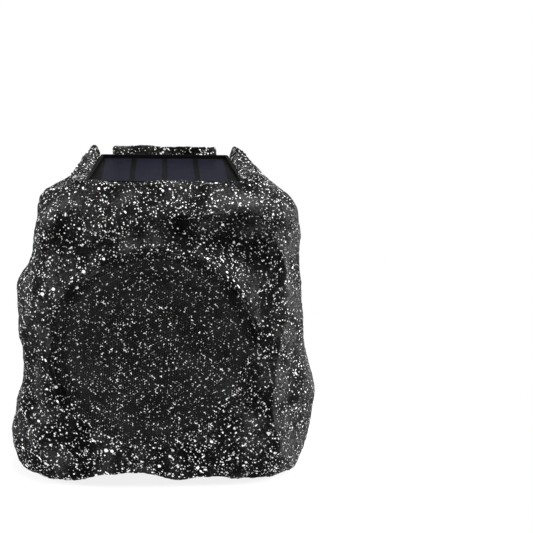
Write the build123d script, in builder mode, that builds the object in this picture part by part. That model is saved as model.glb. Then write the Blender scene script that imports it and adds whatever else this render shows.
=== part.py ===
from build123d import *
from math import cos, exp, pi, radians, sin
import os

os.makedirs("parts", exist_ok=True)

# Rock housing: overall size, walls and the number of sections that shape it
ROCK_WIDTH = 240.0
ROCK_DEPTH = 202.0
ROCK_HEIGHT = 240.0
SKIRT_LIFT = 1.5
SHELL_WALL = 4.5
SKIRT_WALL = 2.8
SQUARENESS = 4.2
SECTION_POLES = 48
OUTER_SECTIONS = 36
INNER_SECTIONS = 34
MOUTH_SECTIONS = 6
CROWDING = 1.35

# Solar deck on top of the rock
DECK_FRONT_WIDTH = 119.0
DECK_BACK_WIDTH = 105.0
DECK_FRONT = -64.0
DECK_BACK = 52.0
DECK_CORNER = 3.0
DECK_DROP = 10.0
DECK_FLOOR = 6.0
TRAY_FLOOR = 1.2
TRAY_WALL = 2.0
TRAY_RIM = 0.5
BACKSHEET_THICK = 1.0
CELL_THICK = 0.3
COVER_THICK = 2.0
CELL_WIDTH = 20.8
CELL_LENGTH = 104.0
CELL_GAP = 4.2
CELL_COUNT = 4
PEG_RADIUS = 3.5
PEG_INSET = 9.0
HORN_BACK = 38.0
LIP_DROP = 10.5
HORN_PEAK = 30.0
HORN_DROP = 0.5
RIM_DROP = 3.0
NOTCH_LEAN = 6.0
NOTCH_STEP = 1.5
RIM_LEFT = -43.0
RIM_RIGHT = 42.0

# Grille and the raised arch around it
GRILLE_RADIUS = 76.0
GRILLE_X = -7.0
GRILLE_HEIGHT = 106.0
GRILLE_TILT = 6.0
GRILLE_SET_BACK = 2.0
GRILLE_SHEET = 1.2
GRILLE_FOLD = 4.0
GRILLE_CROWN = 3.0
GRILLE_SEAT = 5.0
GRILLE_HOLE = 2.8
GRILLE_PITCH = 13.0
GRILLE_RINGS = 5
ARCH_TILT = 5.0
ARCH_RISE = 2.0
ARCH_LAND = 3.5
ARCH_SLOPE = 22.0
BAFFLE_DEPTH = 16.0
BAFFLE_THICK = 5.0

# Loudspeaker
FLANGE_RADIUS = 67.0
FLANGE_THICK = 2.0
DRIVER_GASKET = 1.0
BASKET_WALL = 1.5
CUTOUT_PLAY = 1.5
CONE_RADIUS = 46.0
CONE_RIM = 2.5
CONE_DEPTH = 19.0
CONE_PAPER = 1.0
ROLL_RADIUS = 4.5
ROLL_RUBBER = 0.8
ROLL_LIP = 3.5
FORMER_RADIUS = 13.1
FORMER_WALL = 0.6
WINDING = 0.5
WINDING_LENGTH = 10.0
MAGNET_GAP = 0.4
CAP_RADIUS = 17.0
CAP_RISE = 5.0
CAP_PAPER = 0.8
SPIDER_DROP = 24.0
SPIDER_RADIUS = 45.0
SPIDER_PLAY = 1.0
SPIDER_CLOTH = 0.7
SPIDER_WAVE = 1.2
SPIDER_WAVES = 3
SHELF_WIDTH = 7.5
POT_DEPTH = 9.5
TOP_PLATE_RADIUS = 38.0
TOP_PLATE_THICK = 6.0
MAGNET_RADIUS = 40.0
MAGNET_BORE = 22.0
MAGNET_THICK = 14.0
YOKE_RADIUS = 36.0
YOKE_THICK = 5.0
WINDOW_COUNT = 6
WINDOW_WIDTH = 34.0
DRIVER_SCREWS = 4
DRIVER_SCREW_RADIUS = 1.8
DRIVER_SCREW_LENGTH = 10.0
DRIVER_SCREW_HEAD = 3.6
TERMINAL_WIDTH = 18.0
TERMINAL_THICK = 2.0
TAG_PITCH = 10.8
TAG_WIDTH = 3.6
TAG_THICK = 0.8
TAG_LENGTH = 6.0

# Rear controls
CONTROL_HEIGHT = 92.0
CONTROL_RECESS = 9.0
PANEL_WIDTH = 84.0
PANEL_HEIGHT = 46.0
PANEL_CORNER = 8.0
PANEL_THICK = 3.0
PANEL_GASKET = 1.0
PANEL_SCREW_INSET = 4.5
SEAT_WIDTH = 6.0
SEAT_THICK = 4.0
BUTTON_RADIUS = 5.0
BUTTON_PROUD = 1.6
BUTTON_FLANGE = 1.2
BUTTON_FLANGE_THICK = 1.2
BUTTON_STEM = 1.5
BUTTON_TRAVEL = 1.0
BUTTON_PITCH = 13.0
BUTTON_ROW = 8.0
LIGHT_X = -19.5
LIGHT_Y = -6.0
LIGHT_RADIUS = 1.5
PORT_X = 8.0
PORT_Y = -7.0
SOCKET_WIDTH = 9.0
SOCKET_TALL = 3.3
SOCKET_WALL = 0.4
TONGUE_WIDTH = 6.3
TONGUE_THICK = 0.7
FLAP_WIDTH = 20.0
FLAP_LENGTH = 14.0
FLAP_THICK = 2.0
FLAP_KNUCKLE = 1.6
FLAP_PIN = 0.6
LUG_WIDTH = 2.5

# Electronics behind the controls
BOARD_WIDTH = 66.0
BOARD_HEIGHT = 31.0
BOARD_THICK = 1.6
BOARD_GAP = 9.0
BOARD_POST = 3.0
BOARD_POST_X = 29.5
BOARD_POST_Y = 12.0
SWITCH_SIDE = 6.0
SWITCH_TALL = 4.0
CONNECTOR_X = 23.5
CONNECTOR_PITCH = 8.0
CONNECTOR_WIDTH = 5.0
CONNECTOR_TALL = 6.5
CONNECTOR_DEEP = 6.0
MODULE_X = 10.0
MODULE_Y = 7.5
MODULE_WIDTH = 18.0
MODULE_TALL = 12.0
MODULE_THICK = 2.4
SINK_X = -14.0
SINK_WIDTH = 24.0
SINK_TALL = 26.0
SINK_BASE = 2.0
SINK_FIN = 1.2
SINK_FINS = 6
SINK_DEEP = 8.0
CAPACITOR_RADIUS = 4.0
CAPACITOR_TALL = 11.0
CAPACITOR_PITCH = 10.0

# Battery and base
BASE_LIFT = 12.0
BASE_THICK = 4.0
SEAL_THICK = 1.0
SEAL_OVERLAP = 1.5
BOSS_RADIUS = 6.0
BOSS_TALL = 30.0
BOSS_SINK = 2.4
BASE_SCREW_RADIUS = 1.8
BASE_SCREW_LENGTH = 18.0
FOOT_RADIUS = 11.0
FOOT_TAPER = 6.0
FOOT_X = 70.0
FOOT_Y = 52.0
CELL_RADIUS = 9.2
BATTERY_LENGTH = 65.0
BATTERY_Y = 38.0
BATTERY_TRAY_WALL = 2.0
BATTERY_TRAY_TALL = 14.0
STRAP_WIDTH = 14.0
STRAP_THICK = 1.0
STRAP_FOOT = 9.0
SMALL_SCREW_RADIUS = 1.3
SMALL_SCREW_HEAD = 2.6
HEAD_THICK = 1.8
LEAD_RADIUS = 1.5
LEAD_BEND = 12.0
SOLAR_LEAD_X = -25.0
SOLAR_LEAD_Y = 30.0

# Clearances
FIT = 0.4
RUNNING = 0.3
BORE_PLAY = 0.1

# How far the rock reaches to each side, as shares of half its width or depth,
# at heights given as shares of its height
LEFT_REACH = [
    (0.00, 0.905), (0.04, 0.965), (0.10, 0.982), (0.16, 0.988), (0.21, 0.975), (0.27, 0.932),
    (0.34, 0.912), (0.42, 0.928), (0.50, 0.944), (0.58, 0.938), (0.62, 0.930), (0.66, 0.870),
    (0.71, 0.828), (0.78, 0.805), (0.85, 0.752), (0.89, 0.738), (0.92, 0.655), (0.95, 0.572),
    (1.00, 0.535),
]
RIGHT_REACH = [
    (0.00, 0.875), (0.05, 0.915), (0.10, 0.938), (0.16, 0.953), (0.21, 0.967), (0.26, 0.974),
    (0.30, 0.960), (0.35, 0.928), (0.40, 0.905), (0.45, 0.891), (0.55, 0.868), (0.65, 0.850),
    (0.72, 0.832), (0.78, 0.827), (0.83, 0.797), (0.88, 0.762), (0.92, 0.672), (0.96, 0.580),
    (1.00, 0.545),
]
FRONT_REACH = [
    (0.00, 0.905), (0.04, 0.960), (0.13, 0.990), (0.25, 0.970), (0.42, 0.940), (0.58, 0.910),
    (0.71, 0.865), (0.77, 0.850), (0.83, 0.872), (0.88, 0.825), (0.94, 0.750), (1.00, 0.700),
]
BACK_REACH = [
    (0.00, 0.920), (0.05, 0.975), (0.14, 0.995), (0.33, 0.970), (0.54, 0.910), (0.71, 0.830),
    (0.83, 0.740), (0.92, 0.670), (1.00, 0.610),
]
# How much each section narrows towards the back
TAPER = [(0.00, 0.04), (0.30, 0.06), (0.60, 0.10), (0.75, 0.14), (0.85, 0.20), (0.92, 0.25), (1.00, 0.25)]

# Waves in the lower edge: middle, half width, rise
SKIRT_WAVES = [(-30, 38, 8.0), (34, 22, 4.0)]

# Bulges and hollows: side, place across, height, spread across, spread up, rise
LUMPS = [
    ("front", 60, 190, 26, 12, -9),
    ("front", 64, 168, 24, 22, -8),
    ("front", 42, 209, 34, 7, 6),
    ("front", -24, 200, 44, 9, 3),
    ("front", -56, 164, 26, 22, 5),
    ("front", -88, 112, 12, 48, 6),
    ("front", -86, 58, 20, 13, -5),
    ("front", 80, 48, 10, 40, 7),
    ("front", 83, 122, 10, 32, 7),
    ("front", 88, 168, 9, 18, 7),
    ("right", -18, 88, 18, 13, -5),
    ("right", 40, 150, 26, 22, -4),
    ("left", 30, 78, 26, 22, -4),
    ("back", -40, 175, 34, 18, -5),
    ("back", 48, 150, 30, 26, 4),
    ("back", 0, 28, 40, 14, 3),
]


def along(profile, share):
    """Smooth curve through a profile's pairs of height and reach."""
    last = len(profile) - 1
    i = 0
    while i < last - 1 and share > profile[i + 1][0]:
        i += 1
    h0, r0 = profile[i]
    h1, r1 = profile[i + 1]
    h_before, r_before = profile[max(i - 1, 0)]
    h_after, r_after = profile[min(i + 2, last)]
    step = h1 - h0
    rise0 = step * (r1 - r_before) / (h1 - h_before)
    rise1 = step * (r_after - r0) / (h_after - h0)
    t = (share - h0) / step
    start = r0 * (1 + 2 * t) + rise0 * t
    end = r1 * (3 - 2 * t) + rise1 * (t - 1)
    return start * (1 - t) ** 2 + end * t**2


def bell(offset, spread):
    """Round bump that fades out past its spread."""
    return exp(-((offset / spread) ** 2))


def reach(profile, height, overall):
    """Distance from the rock's axis to one side at a height."""
    return along(profile, height / ROCK_HEIGHT) * overall / 2


def rock_point(height, bearing, inset):
    """Point of the rock's section at a height, moved in by the inset."""
    c = cos(bearing)
    s = sin(bearing)
    across = reach(RIGHT_REACH if c > 0 else LEFT_REACH, height, ROCK_WIDTH) - inset
    deep = reach(BACK_REACH if s > 0 else FRONT_REACH, height, ROCK_DEPTH) - inset
    x = across * abs(c) ** (2 / SQUARENESS) * (1 if c > 0 else -1)
    y = deep * abs(s) ** (2 / SQUARENESS) * (1 if s > 0 else -1)
    x *= 1 - along(TAPER, height / ROCK_HEIGHT) * y / (ROCK_DEPTH / 2)
    for side, place, middle, wide, tall, rise in LUMPS:
        facing = {"front": -s, "back": s, "left": -c, "right": c}[side]
        push = max(0, min(1, facing / 0.6)) * rise * bell(height - middle, tall)
        if side in ("front", "back"):
            y += push * bell(x - place, wide) * (-1 if side == "front" else 1)
        else:
            x += push * bell(y - place, wide) * (-1 if side == "left" else 1)
    return x, y


def rock_outline(height, inset):
    """Closed curve of the rock's section at a height, moved in by the inset."""
    turn = 2 * pi / SECTION_POLES
    poles = [rock_point(height, pi / 2 + turn * (i + 0.5), inset) for i in range(SECTION_POLES)]
    with BuildLine() as outline:
        BSpline(poles, range(SECTION_POLES + 1), 3, periodic=True)
    return outline.line


def crowded(bottom, top, count):
    """Heights from bottom to top that crowd together towards the top."""
    steps = [1 - (1 - i / count) ** CROWDING for i in range(count + 1)]
    return [bottom + (top - bottom) * step for step in steps]


# Places that follow from the sizes above
ROOM = ROCK_WIDTH + ROCK_DEPTH
base_top = BASE_LIFT + BASE_THICK
ledge = base_top + SEAL_THICK
deck_top = ROCK_HEIGHT - DECK_DROP
backsheet_floor = deck_top - TRAY_RIM - COVER_THICK - CELL_THICK - BACKSHEET_THICK
deck_floor = backsheet_floor - TRAY_FLOOR
cavity_top = deck_floor - DECK_FLOOR
deck_middle = (DECK_FRONT + DECK_BACK) / 2


def leaning(origin, degrees):
    """Plane that faces the front and leans back by some degrees."""
    lean = radians(degrees)
    return Plane(origin=origin, x_dir=(1, 0, 0), z_dir=(0, -cos(lean), sin(lean)))


def turning(plane):
    """Plane through a leaning plane's axis, for profiles of radius and height."""
    return Plane(origin=plane.origin, x_dir=plane.x_dir, z_dir=plane.x_dir.cross(plane.z_dir))


front_face = -reach(FRONT_REACH, GRILLE_HEIGHT, ROCK_DEPTH)
grille_plane = leaning((GRILLE_X, front_face + GRILLE_SET_BACK, GRILLE_HEIGHT), GRILLE_TILT)
driver_plane = grille_plane.offset(-BAFFLE_DEPTH)
arch_plane = leaning(grille_plane.offset(ARCH_RISE).origin, GRILLE_TILT - ARCH_TILT)
driver_axis = Axis(driver_plane.origin, driver_plane.z_dir)

back_face = reach(BACK_REACH, CONTROL_HEIGHT, ROCK_DEPTH)
control_plane = Plane(
    origin=(0, back_face - CONTROL_RECESS, CONTROL_HEIGHT), x_dir=(-1, 0, 0), z_dir=(0, 1, 0)
)
panel_back = PANEL_GASKET
panel_face = panel_back + PANEL_THICK
board_face = panel_back - BOARD_GAP
board_back = board_face - BOARD_THICK
opening_width = PANEL_WIDTH - 2 * SEAT_WIDTH
opening_height = PANEL_HEIGHT - 2 * SEAT_WIDTH
screw_x = PANEL_WIDTH / 2 - PANEL_SCREW_INSET
screw_y = PANEL_HEIGHT / 2 - PANEL_SCREW_INSET
panel_screw_places = [(x * screw_x, y * screw_y) for x in (-1, 1) for y in (-1, 1)]
post_places = [(x * BOARD_POST_X, y * BOARD_POST_Y) for x in (-1, 1) for y in (-1, 1)]
button_places = [((i - 1.5) * BUTTON_PITCH, BUTTON_ROW) for i in range(4)]
boss_inset = SHELL_WALL + BOSS_RADIUS - BOSS_SINK
boss_places = [rock_point(ledge, pi / 4 + i * pi / 2, boss_inset) for i in range(4)]
foot_places = [(x * FOOT_X, y * FOOT_Y) for x in (-1, 1) for y in (-1, 1)]


def deck_corners(inset):
    """Corners of the solar deck, wider in front than behind."""
    front = DECK_FRONT_WIDTH / 2 - inset
    back = DECK_BACK_WIDTH / 2 - inset
    return [
        (-front, DECK_FRONT + inset),
        (front, DECK_FRONT + inset),
        (back, DECK_BACK - inset),
        (-back, DECK_BACK - inset),
    ]


peg_places = deck_corners(PEG_INSET)

# Driver levels, counted outwards from the front of the baffle
flange_back = DRIVER_GASKET
flange_front = flange_back + FLANGE_THICK
mouth_radius = CONE_RADIUS + 2 * ROLL_RADIUS + FIT
cutout_radius = mouth_radius + BASKET_WALL + CUTOUT_PLAY
shelf_level = flange_front - SPIDER_DROP
shelf_outer = SPIDER_RADIUS + SPIDER_PLAY
pot_radius = shelf_outer - SHELF_WIDTH
pot_floor = shelf_level - POT_DEPTH
plate_front = pot_floor - BASKET_WALL
plate_back = plate_front - TOP_PLATE_THICK
magnet_back = plate_back - MAGNET_THICK
yoke_back = magnet_back - YOKE_THICK
gap_inner = FORMER_RADIUS - FORMER_WALL - MAGNET_GAP
gap_outer = FORMER_RADIUS + WINDING + MAGNET_GAP
screw_circle = (cutout_radius + FLANGE_RADIUS) / 2
cone_slope = CONE_DEPTH / (CONE_RADIUS - CONE_RIM - FORMER_RADIUS)
neck_level = flange_front - CONE_DEPTH

# Hollow inside of the rock, kept clear of the grille recess and the rear seat
with BuildPart() as cavity:
    for height in crowded(ledge, cavity_top, INNER_SECTIONS):
        with BuildSketch(Plane.XY.offset(height)):
            make_face(rock_outline(height, SHELL_WALL))
    loft()
    with BuildSketch(driver_plane.offset(-BAFFLE_THICK)):
        Circle(GRILLE_RADIUS + FIT + SHELL_WALL)
    extrude(amount=ROCK_DEPTH / 2, mode=Mode.SUBTRACT)
    with BuildSketch(control_plane.offset(-SEAT_THICK)):
        RectangleRounded(
            PANEL_WIDTH + 2 * (FIT + SHELL_WALL), PANEL_HEIGHT + 2 * (FIT + SHELL_WALL), PANEL_CORNER
        )
    extrude(amount=ROCK_DEPTH / 2, mode=Mode.SUBTRACT)

# Mouth of the skirt that takes the base plate
with BuildPart() as skirt_mouth:
    for height in crowded(0, ledge, MOUTH_SECTIONS):
        with BuildSketch(Plane.XY.offset(height)):
            make_face(rock_outline(height, SKIRT_WALL))
    loft()

# Moulded rock housing
with BuildPart() as rock_shell:
    for height in crowded(SKIRT_LIFT, ROCK_HEIGHT, OUTER_SECTIONS):
        with BuildSketch(Plane.XY.offset(height)):
            make_face(rock_outline(height, 0))
    loft()
    # raised arch around the grille, highest under the brow
    with BuildSketch(turning(arch_plane)):
        with BuildLine():
            crest = GRILLE_RADIUS + FIT + ARCH_LAND
            Polyline((0, 0), (crest, 0), (crest + ARCH_SLOPE, -ARCH_SLOPE), (0, -ARCH_SLOPE), close=True)
        make_face()
    revolve(axis=Axis(arch_plane.origin, arch_plane.z_dir))
    # top of the rock: front lip, horns that rise to the back, lower back rim
    with BuildSketch(Plane.YZ):
        with BuildLine():
            top = Spline(
                (-ROCK_DEPTH, ROCK_HEIGHT - LIP_DROP),
                (DECK_FRONT, ROCK_HEIGHT - LIP_DROP),
                (0, ROCK_HEIGHT - LIP_DROP / 2),
                (HORN_PEAK, ROCK_HEIGHT - HORN_DROP),
                (DECK_BACK, ROCK_HEIGHT - RIM_DROP),
                (ROCK_DEPTH, ROCK_HEIGHT - RIM_DROP),
            )
            Polyline(top @ 1, (ROCK_DEPTH, ROOM), (-ROCK_DEPTH, ROOM), top @ 0)
        make_face()
    extrude(amount=ROOM, both=True, mode=Mode.SUBTRACT)
    # corners behind the horns, cut below the panel
    for rim_end, way in ((RIM_LEFT, -1), (RIM_RIGHT, 1)):
        with BuildSketch(Plane.YZ.offset(rim_end)):
            with BuildLine():
                Polyline(
                    (HORN_BACK, ROOM),
                    (HORN_BACK + NOTCH_LEAN, deck_floor + NOTCH_STEP),
                    (ROCK_DEPTH, deck_floor + NOTCH_STEP),
                    (ROCK_DEPTH, ROOM),
                    close=True,
                )
            make_face()
        extrude(amount=way * ROOM, mode=Mode.SUBTRACT)
    # pocket for the solar tray
    with BuildSketch(Plane.XY.offset(deck_floor)):
        with BuildLine():
            FilletPolyline(*deck_corners(0), radius=DECK_CORNER, close=True)
        make_face()
    extrude(amount=ROCK_HEIGHT, mode=Mode.SUBTRACT)
    add(cavity.part, mode=Mode.SUBTRACT)
    add(skirt_mouth.part, mode=Mode.SUBTRACT)
    # seat of the grille, recess in front of the driver, driver cut-out and screw pilots
    with BuildSketch(grille_plane.offset(-GRILLE_FOLD)):
        Circle(GRILLE_RADIUS + FIT)
    extrude(amount=ROCK_DEPTH / 2, mode=Mode.SUBTRACT)
    with BuildSketch(driver_plane):
        Circle(GRILLE_RADIUS - GRILLE_SEAT)
    extrude(amount=BAFFLE_DEPTH, mode=Mode.SUBTRACT)
    with BuildSketch(driver_plane):
        Circle(cutout_radius)
        with PolarLocations(screw_circle, DRIVER_SCREWS, 45):
            Circle(DRIVER_SCREW_RADIUS + BORE_PLAY)
    extrude(amount=-2 * BAFFLE_THICK, mode=Mode.SUBTRACT)
    # rear recess, its opening and screw pilots
    with BuildSketch(control_plane):
        RectangleRounded(PANEL_WIDTH + 2 * FIT, PANEL_HEIGHT + 2 * FIT, PANEL_CORNER + FIT)
    extrude(amount=ROCK_DEPTH / 2, mode=Mode.SUBTRACT)
    with BuildSketch(control_plane):
        RectangleRounded(opening_width, opening_height, PANEL_CORNER / 2)
        with Locations(*panel_screw_places):
            Circle(SMALL_SCREW_RADIUS + BORE_PLAY)
    extrude(amount=-2 * SEAT_THICK, mode=Mode.SUBTRACT)
    # holes in the deck floor for the tray's pegs and the solar lead
    with BuildSketch(Plane.XY.offset(deck_floor)):
        with Locations(*peg_places):
            Circle(PEG_RADIUS + FIT)
        with Locations((SOLAR_LEAD_X, SOLAR_LEAD_Y)):
            Circle(LEAD_RADIUS + FIT)
    extrude(amount=-2 * DECK_FLOOR, mode=Mode.SUBTRACT)
    # bosses for the base screws
    with BuildSketch(Plane.XY.offset(ledge)):
        with Locations(*boss_places):
            Circle(BOSS_RADIUS)
    extrude(amount=BOSS_TALL)
    with BuildSketch(Plane.XY.offset(ledge)):
        with Locations(*boss_places):
            Circle(BASE_SCREW_RADIUS + BORE_PLAY)
    extrude(amount=BASE_SCREW_LENGTH, mode=Mode.SUBTRACT)
    # waves in the lower edge
    for middle, half, rise in SKIRT_WAVES:
        with BuildSketch(Plane.XZ):
            with BuildLine():
                wave = ThreePointArc(
                    (middle - half, SKIRT_LIFT), (middle, SKIRT_LIFT + rise), (middle + half, SKIRT_LIFT)
                )
                Polyline(wave @ 1, (middle + half, 0), (middle - half, 0), wave @ 0)
            make_face()
        extrude(amount=ROCK_DEPTH, both=True, mode=Mode.SUBTRACT)
rock_shell.part.label = "rock_shell"
export_step(rock_shell.part, "parts/rock_shell.step")

# Perforated grille: crowned sheet with a folded rim
with BuildPart() as front_grille:
    with BuildSketch(turning(grille_plane)):
        with BuildLine():
            inner = GRILLE_RADIUS - GRILLE_SHEET
            TangentArc((0, GRILLE_CROWN), (GRILLE_RADIUS, 0), tangent=(1, 0))
            Polyline((GRILLE_RADIUS, 0), (GRILLE_RADIUS, -GRILLE_FOLD), (inner, -GRILLE_FOLD))
            Line((inner, -GRILLE_FOLD), (inner, -GRILLE_SHEET))
            TangentArc((0, GRILLE_CROWN - GRILLE_SHEET), (inner, -GRILLE_SHEET), tangent=(1, 0))
            Line((0, GRILLE_CROWN - GRILLE_SHEET), (0, GRILLE_CROWN))
        make_face()
    revolve(axis=driver_axis)
    hole_places = [
        (GRILLE_PITCH * (i + j / 2), GRILLE_PITCH * j * sin(pi / 3))
        for i in range(-GRILLE_RINGS, GRILLE_RINGS + 1)
        for j in range(-GRILLE_RINGS, GRILLE_RINGS + 1)
        if abs(i + j) <= GRILLE_RINGS
    ]
    with BuildSketch(grille_plane.offset(-GRILLE_FOLD)):
        with Locations(*hole_places):
            Circle(GRILLE_HOLE)
    extrude(amount=2 * GRILLE_FOLD, mode=Mode.SUBTRACT)
front_grille.part.label = "front_grille"
export_step(front_grille.part, "parts/front_grille.step")

# Foam ring between the driver and the baffle
with BuildPart() as driver_gasket:
    with BuildSketch(driver_plane):
        Circle(FLANGE_RADIUS)
        Circle(cutout_radius, mode=Mode.SUBTRACT)
        with PolarLocations(screw_circle, DRIVER_SCREWS, 45):
            Circle(DRIVER_SCREW_RADIUS + BORE_PLAY, mode=Mode.SUBTRACT)
    extrude(amount=DRIVER_GASKET)
driver_gasket.part.label = "driver_gasket"
export_step(driver_gasket.part, "parts/driver_gasket.step")

# Pressed steel basket with windows in its cone
with BuildPart() as driver_basket:
    with BuildSketch(turning(driver_plane)):
        with BuildLine():
            Polyline(
                (FLANGE_RADIUS, flange_back),
                (FLANGE_RADIUS, flange_front),
                (mouth_radius, flange_front),
                (shelf_outer, shelf_level),
                (pot_radius, shelf_level),
                (pot_radius, pot_floor),
                (gap_outer + FIT, pot_floor),
                (gap_outer + FIT, plate_front),
                (pot_radius + BASKET_WALL, plate_front),
                (pot_radius + BASKET_WALL, shelf_level - BASKET_WALL),
                (shelf_outer + BASKET_WALL, shelf_level - BASKET_WALL),
                (mouth_radius + BASKET_WALL, flange_back),
                close=True,
            )
        make_face()
    revolve(axis=driver_axis)
    window_top = flange_back - 2 * BASKET_WALL
    window_low = shelf_level + 2 * BASKET_WALL
    with BuildSketch(driver_plane.offset(window_low)):
        with PolarLocations(mouth_radius, WINDOW_COUNT, 180 / WINDOW_COUNT):
            Rectangle(mouth_radius, WINDOW_WIDTH)
    extrude(amount=window_top - window_low, mode=Mode.SUBTRACT)
    with BuildSketch(driver_plane.offset(flange_back)):
        with PolarLocations(screw_circle, DRIVER_SCREWS, 45):
            Circle(DRIVER_SCREW_RADIUS + BORE_PLAY)
    extrude(amount=FLANGE_THICK, mode=Mode.SUBTRACT)
driver_basket.part.label = "driver_basket"
export_step(driver_basket.part, "parts/driver_basket.step")

# Rubber half-roll between the basket and the cone
with BuildPart() as driver_surround:
    with BuildSketch(turning(driver_plane)):
        with BuildLine():
            roll_in = CONE_RADIUS
            roll_out = CONE_RADIUS + 2 * ROLL_RADIUS
            middle = CONE_RADIUS + ROLL_RADIUS
            over = flange_front + ROLL_RUBBER
            Line((roll_in - ROLL_LIP, flange_front), (roll_in - ROLL_LIP, over))
            Line((roll_in - ROLL_LIP, over), (roll_in, over))
            ThreePointArc((roll_in, over), (middle, over + ROLL_RADIUS), (roll_out, over))
            Line((roll_out, over), (roll_out + ROLL_LIP, over))
            Line((roll_out + ROLL_LIP, over), (roll_out + ROLL_LIP, flange_front))
            Line((roll_out + ROLL_LIP, flange_front), (roll_out - ROLL_RUBBER, flange_front))
            ThreePointArc(
                (roll_out - ROLL_RUBBER, flange_front),
                (middle, over + ROLL_RADIUS - ROLL_RUBBER),
                (roll_in + ROLL_RUBBER, flange_front),
            )
            Line((roll_in + ROLL_RUBBER, flange_front), (roll_in - ROLL_LIP, flange_front))
        make_face()
    revolve(axis=driver_axis)
driver_surround.part.label = "driver_surround"
export_step(driver_surround.part, "parts/driver_surround.step")

# Paper cone
with BuildPart() as driver_cone:
    with BuildSketch(turning(driver_plane)):
        with BuildLine():
            Polyline(
                (CONE_RADIUS, flange_front),
                (CONE_RADIUS, flange_front - CONE_PAPER),
                (CONE_RADIUS - CONE_RIM, flange_front - CONE_PAPER),
                (FORMER_RADIUS + BORE_PLAY, neck_level - CONE_PAPER),
                (FORMER_RADIUS + BORE_PLAY, neck_level),
                (CONE_RADIUS - CONE_RIM, flange_front),
                close=True,
            )
        make_face()
    revolve(axis=driver_axis)
driver_cone.part.label = "driver_cone"
export_step(driver_cone.part, "parts/driver_cone.step")

# Dust cap, a shallow dome glued on the cone
with BuildPart() as driver_dust_cap:
    cap_level = neck_level + cone_slope * (CAP_RADIUS - FORMER_RADIUS)
    with BuildSketch(turning(driver_plane)):
        with BuildLine():
            inside = CAP_RADIUS - CAP_PAPER
            cap_top = cap_level + CAP_RISE
            TangentArc((0, cap_top), (CAP_RADIUS, cap_level), tangent=(1, 0))
            Line((CAP_RADIUS, cap_level), (inside, cap_level))
            TangentArc((0, cap_top - CAP_PAPER), (inside, cap_level), tangent=(1, 0))
            Line((0, cap_top - CAP_PAPER), (0, cap_top))
        make_face()
    revolve(axis=driver_axis)
driver_dust_cap.part.label = "driver_dust_cap"
export_step(driver_dust_cap.part, "parts/driver_dust_cap.step")

# Voice coil: former tube with its winding in the magnet gap
with BuildPart() as driver_voice_coil:
    winding_middle = (plate_front + plate_back) / 2
    former_top = neck_level + CONE_PAPER
    former_low = winding_middle - WINDING_LENGTH / 2 - ROLL_RADIUS
    with BuildSketch(driver_plane.offset(former_low)):
        Circle(FORMER_RADIUS)
        Circle(FORMER_RADIUS - FORMER_WALL, mode=Mode.SUBTRACT)
    extrude(amount=former_top - former_low)
    with BuildSketch(driver_plane.offset(winding_middle)):
        Circle(FORMER_RADIUS + WINDING)
        Circle(FORMER_RADIUS - FORMER_WALL, mode=Mode.SUBTRACT)
    extrude(amount=WINDING_LENGTH / 2, both=True)
driver_voice_coil.part.label = "driver_voice_coil"
export_step(driver_voice_coil.part, "parts/driver_voice_coil.step")

# Spider: corrugated cloth disc that centres the coil
with BuildPart() as driver_spider:
    spider_in = FORMER_RADIUS + BORE_PLAY
    flat_from = pot_radius
    wave_step = (flat_from - spider_in) / (2 * SPIDER_WAVES)
    crests = [
        (spider_in + wave_step * (i + 0.5), shelf_level + SPIDER_WAVE * (-1) ** i)
        for i in range(2 * SPIDER_WAVES)
    ]
    low = [(spider_in, shelf_level)] + crests + [(flat_from, shelf_level)]
    high = [(radius, level + SPIDER_CLOTH) for radius, level in reversed(low)]
    with BuildSketch(turning(driver_plane)):
        with BuildLine():
            Spline(*low)
            Polyline(low[-1], (SPIDER_RADIUS, shelf_level), (SPIDER_RADIUS, high[0][1]), high[0])
            Spline(*high)
            Line(high[-1], low[0])
        make_face()
    revolve(axis=driver_axis)
driver_spider.part.label = "driver_spider"
export_step(driver_spider.part, "parts/driver_spider.step")

# Front plate of the magnet system
with BuildPart() as driver_top_plate:
    with BuildSketch(driver_plane.offset(plate_back)):
        Circle(TOP_PLATE_RADIUS)
        Circle(gap_outer, mode=Mode.SUBTRACT)
    extrude(amount=TOP_PLATE_THICK)
driver_top_plate.part.label = "driver_top_plate"
export_step(driver_top_plate.part, "parts/driver_top_plate.step")

# Ferrite ring magnet
with BuildPart() as driver_magnet:
    with BuildSketch(driver_plane.offset(magnet_back)):
        Circle(MAGNET_RADIUS)
        Circle(MAGNET_BORE, mode=Mode.SUBTRACT)
    extrude(amount=MAGNET_THICK)
driver_magnet.part.label = "driver_magnet"
export_step(driver_magnet.part, "parts/driver_magnet.step")

# Back plate and pole piece
with BuildPart() as driver_yoke:
    with BuildSketch(driver_plane.offset(yoke_back)):
        Circle(YOKE_RADIUS)
    extrude(amount=YOKE_THICK)
    with BuildSketch(driver_plane.offset(magnet_back)):
        Circle(gap_inner)
    extrude(amount=plate_front - magnet_back)
driver_yoke.part.label = "driver_yoke"
export_step(driver_yoke.part, "parts/driver_yoke.step")

# Terminal strip under the basket's shelf, with two solder tags
terminal_radius = pot_radius + BASKET_WALL + SHELF_WIDTH / 2
terminal_depth = SHELF_WIDTH - 2 * BASKET_WALL
strip_front = shelf_level - BASKET_WALL
strip_back = strip_front - TERMINAL_THICK
with BuildPart() as driver_terminal:
    with BuildSketch(driver_plane.offset(strip_back)):
        with Locations((-terminal_radius, 0)):
            Rectangle(terminal_depth, TERMINAL_WIDTH)
    extrude(amount=TERMINAL_THICK)
    with BuildSketch(driver_plane.offset(strip_back)):
        with Locations((-terminal_radius, 0)):
            with GridLocations(0, TAG_PITCH, 1, 2):
                Rectangle(TAG_THICK, TAG_WIDTH)
    extrude(amount=-TAG_LENGTH)
driver_terminal.part.label = "driver_terminal"
export_step(driver_terminal.part, "parts/driver_terminal.step")

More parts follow.
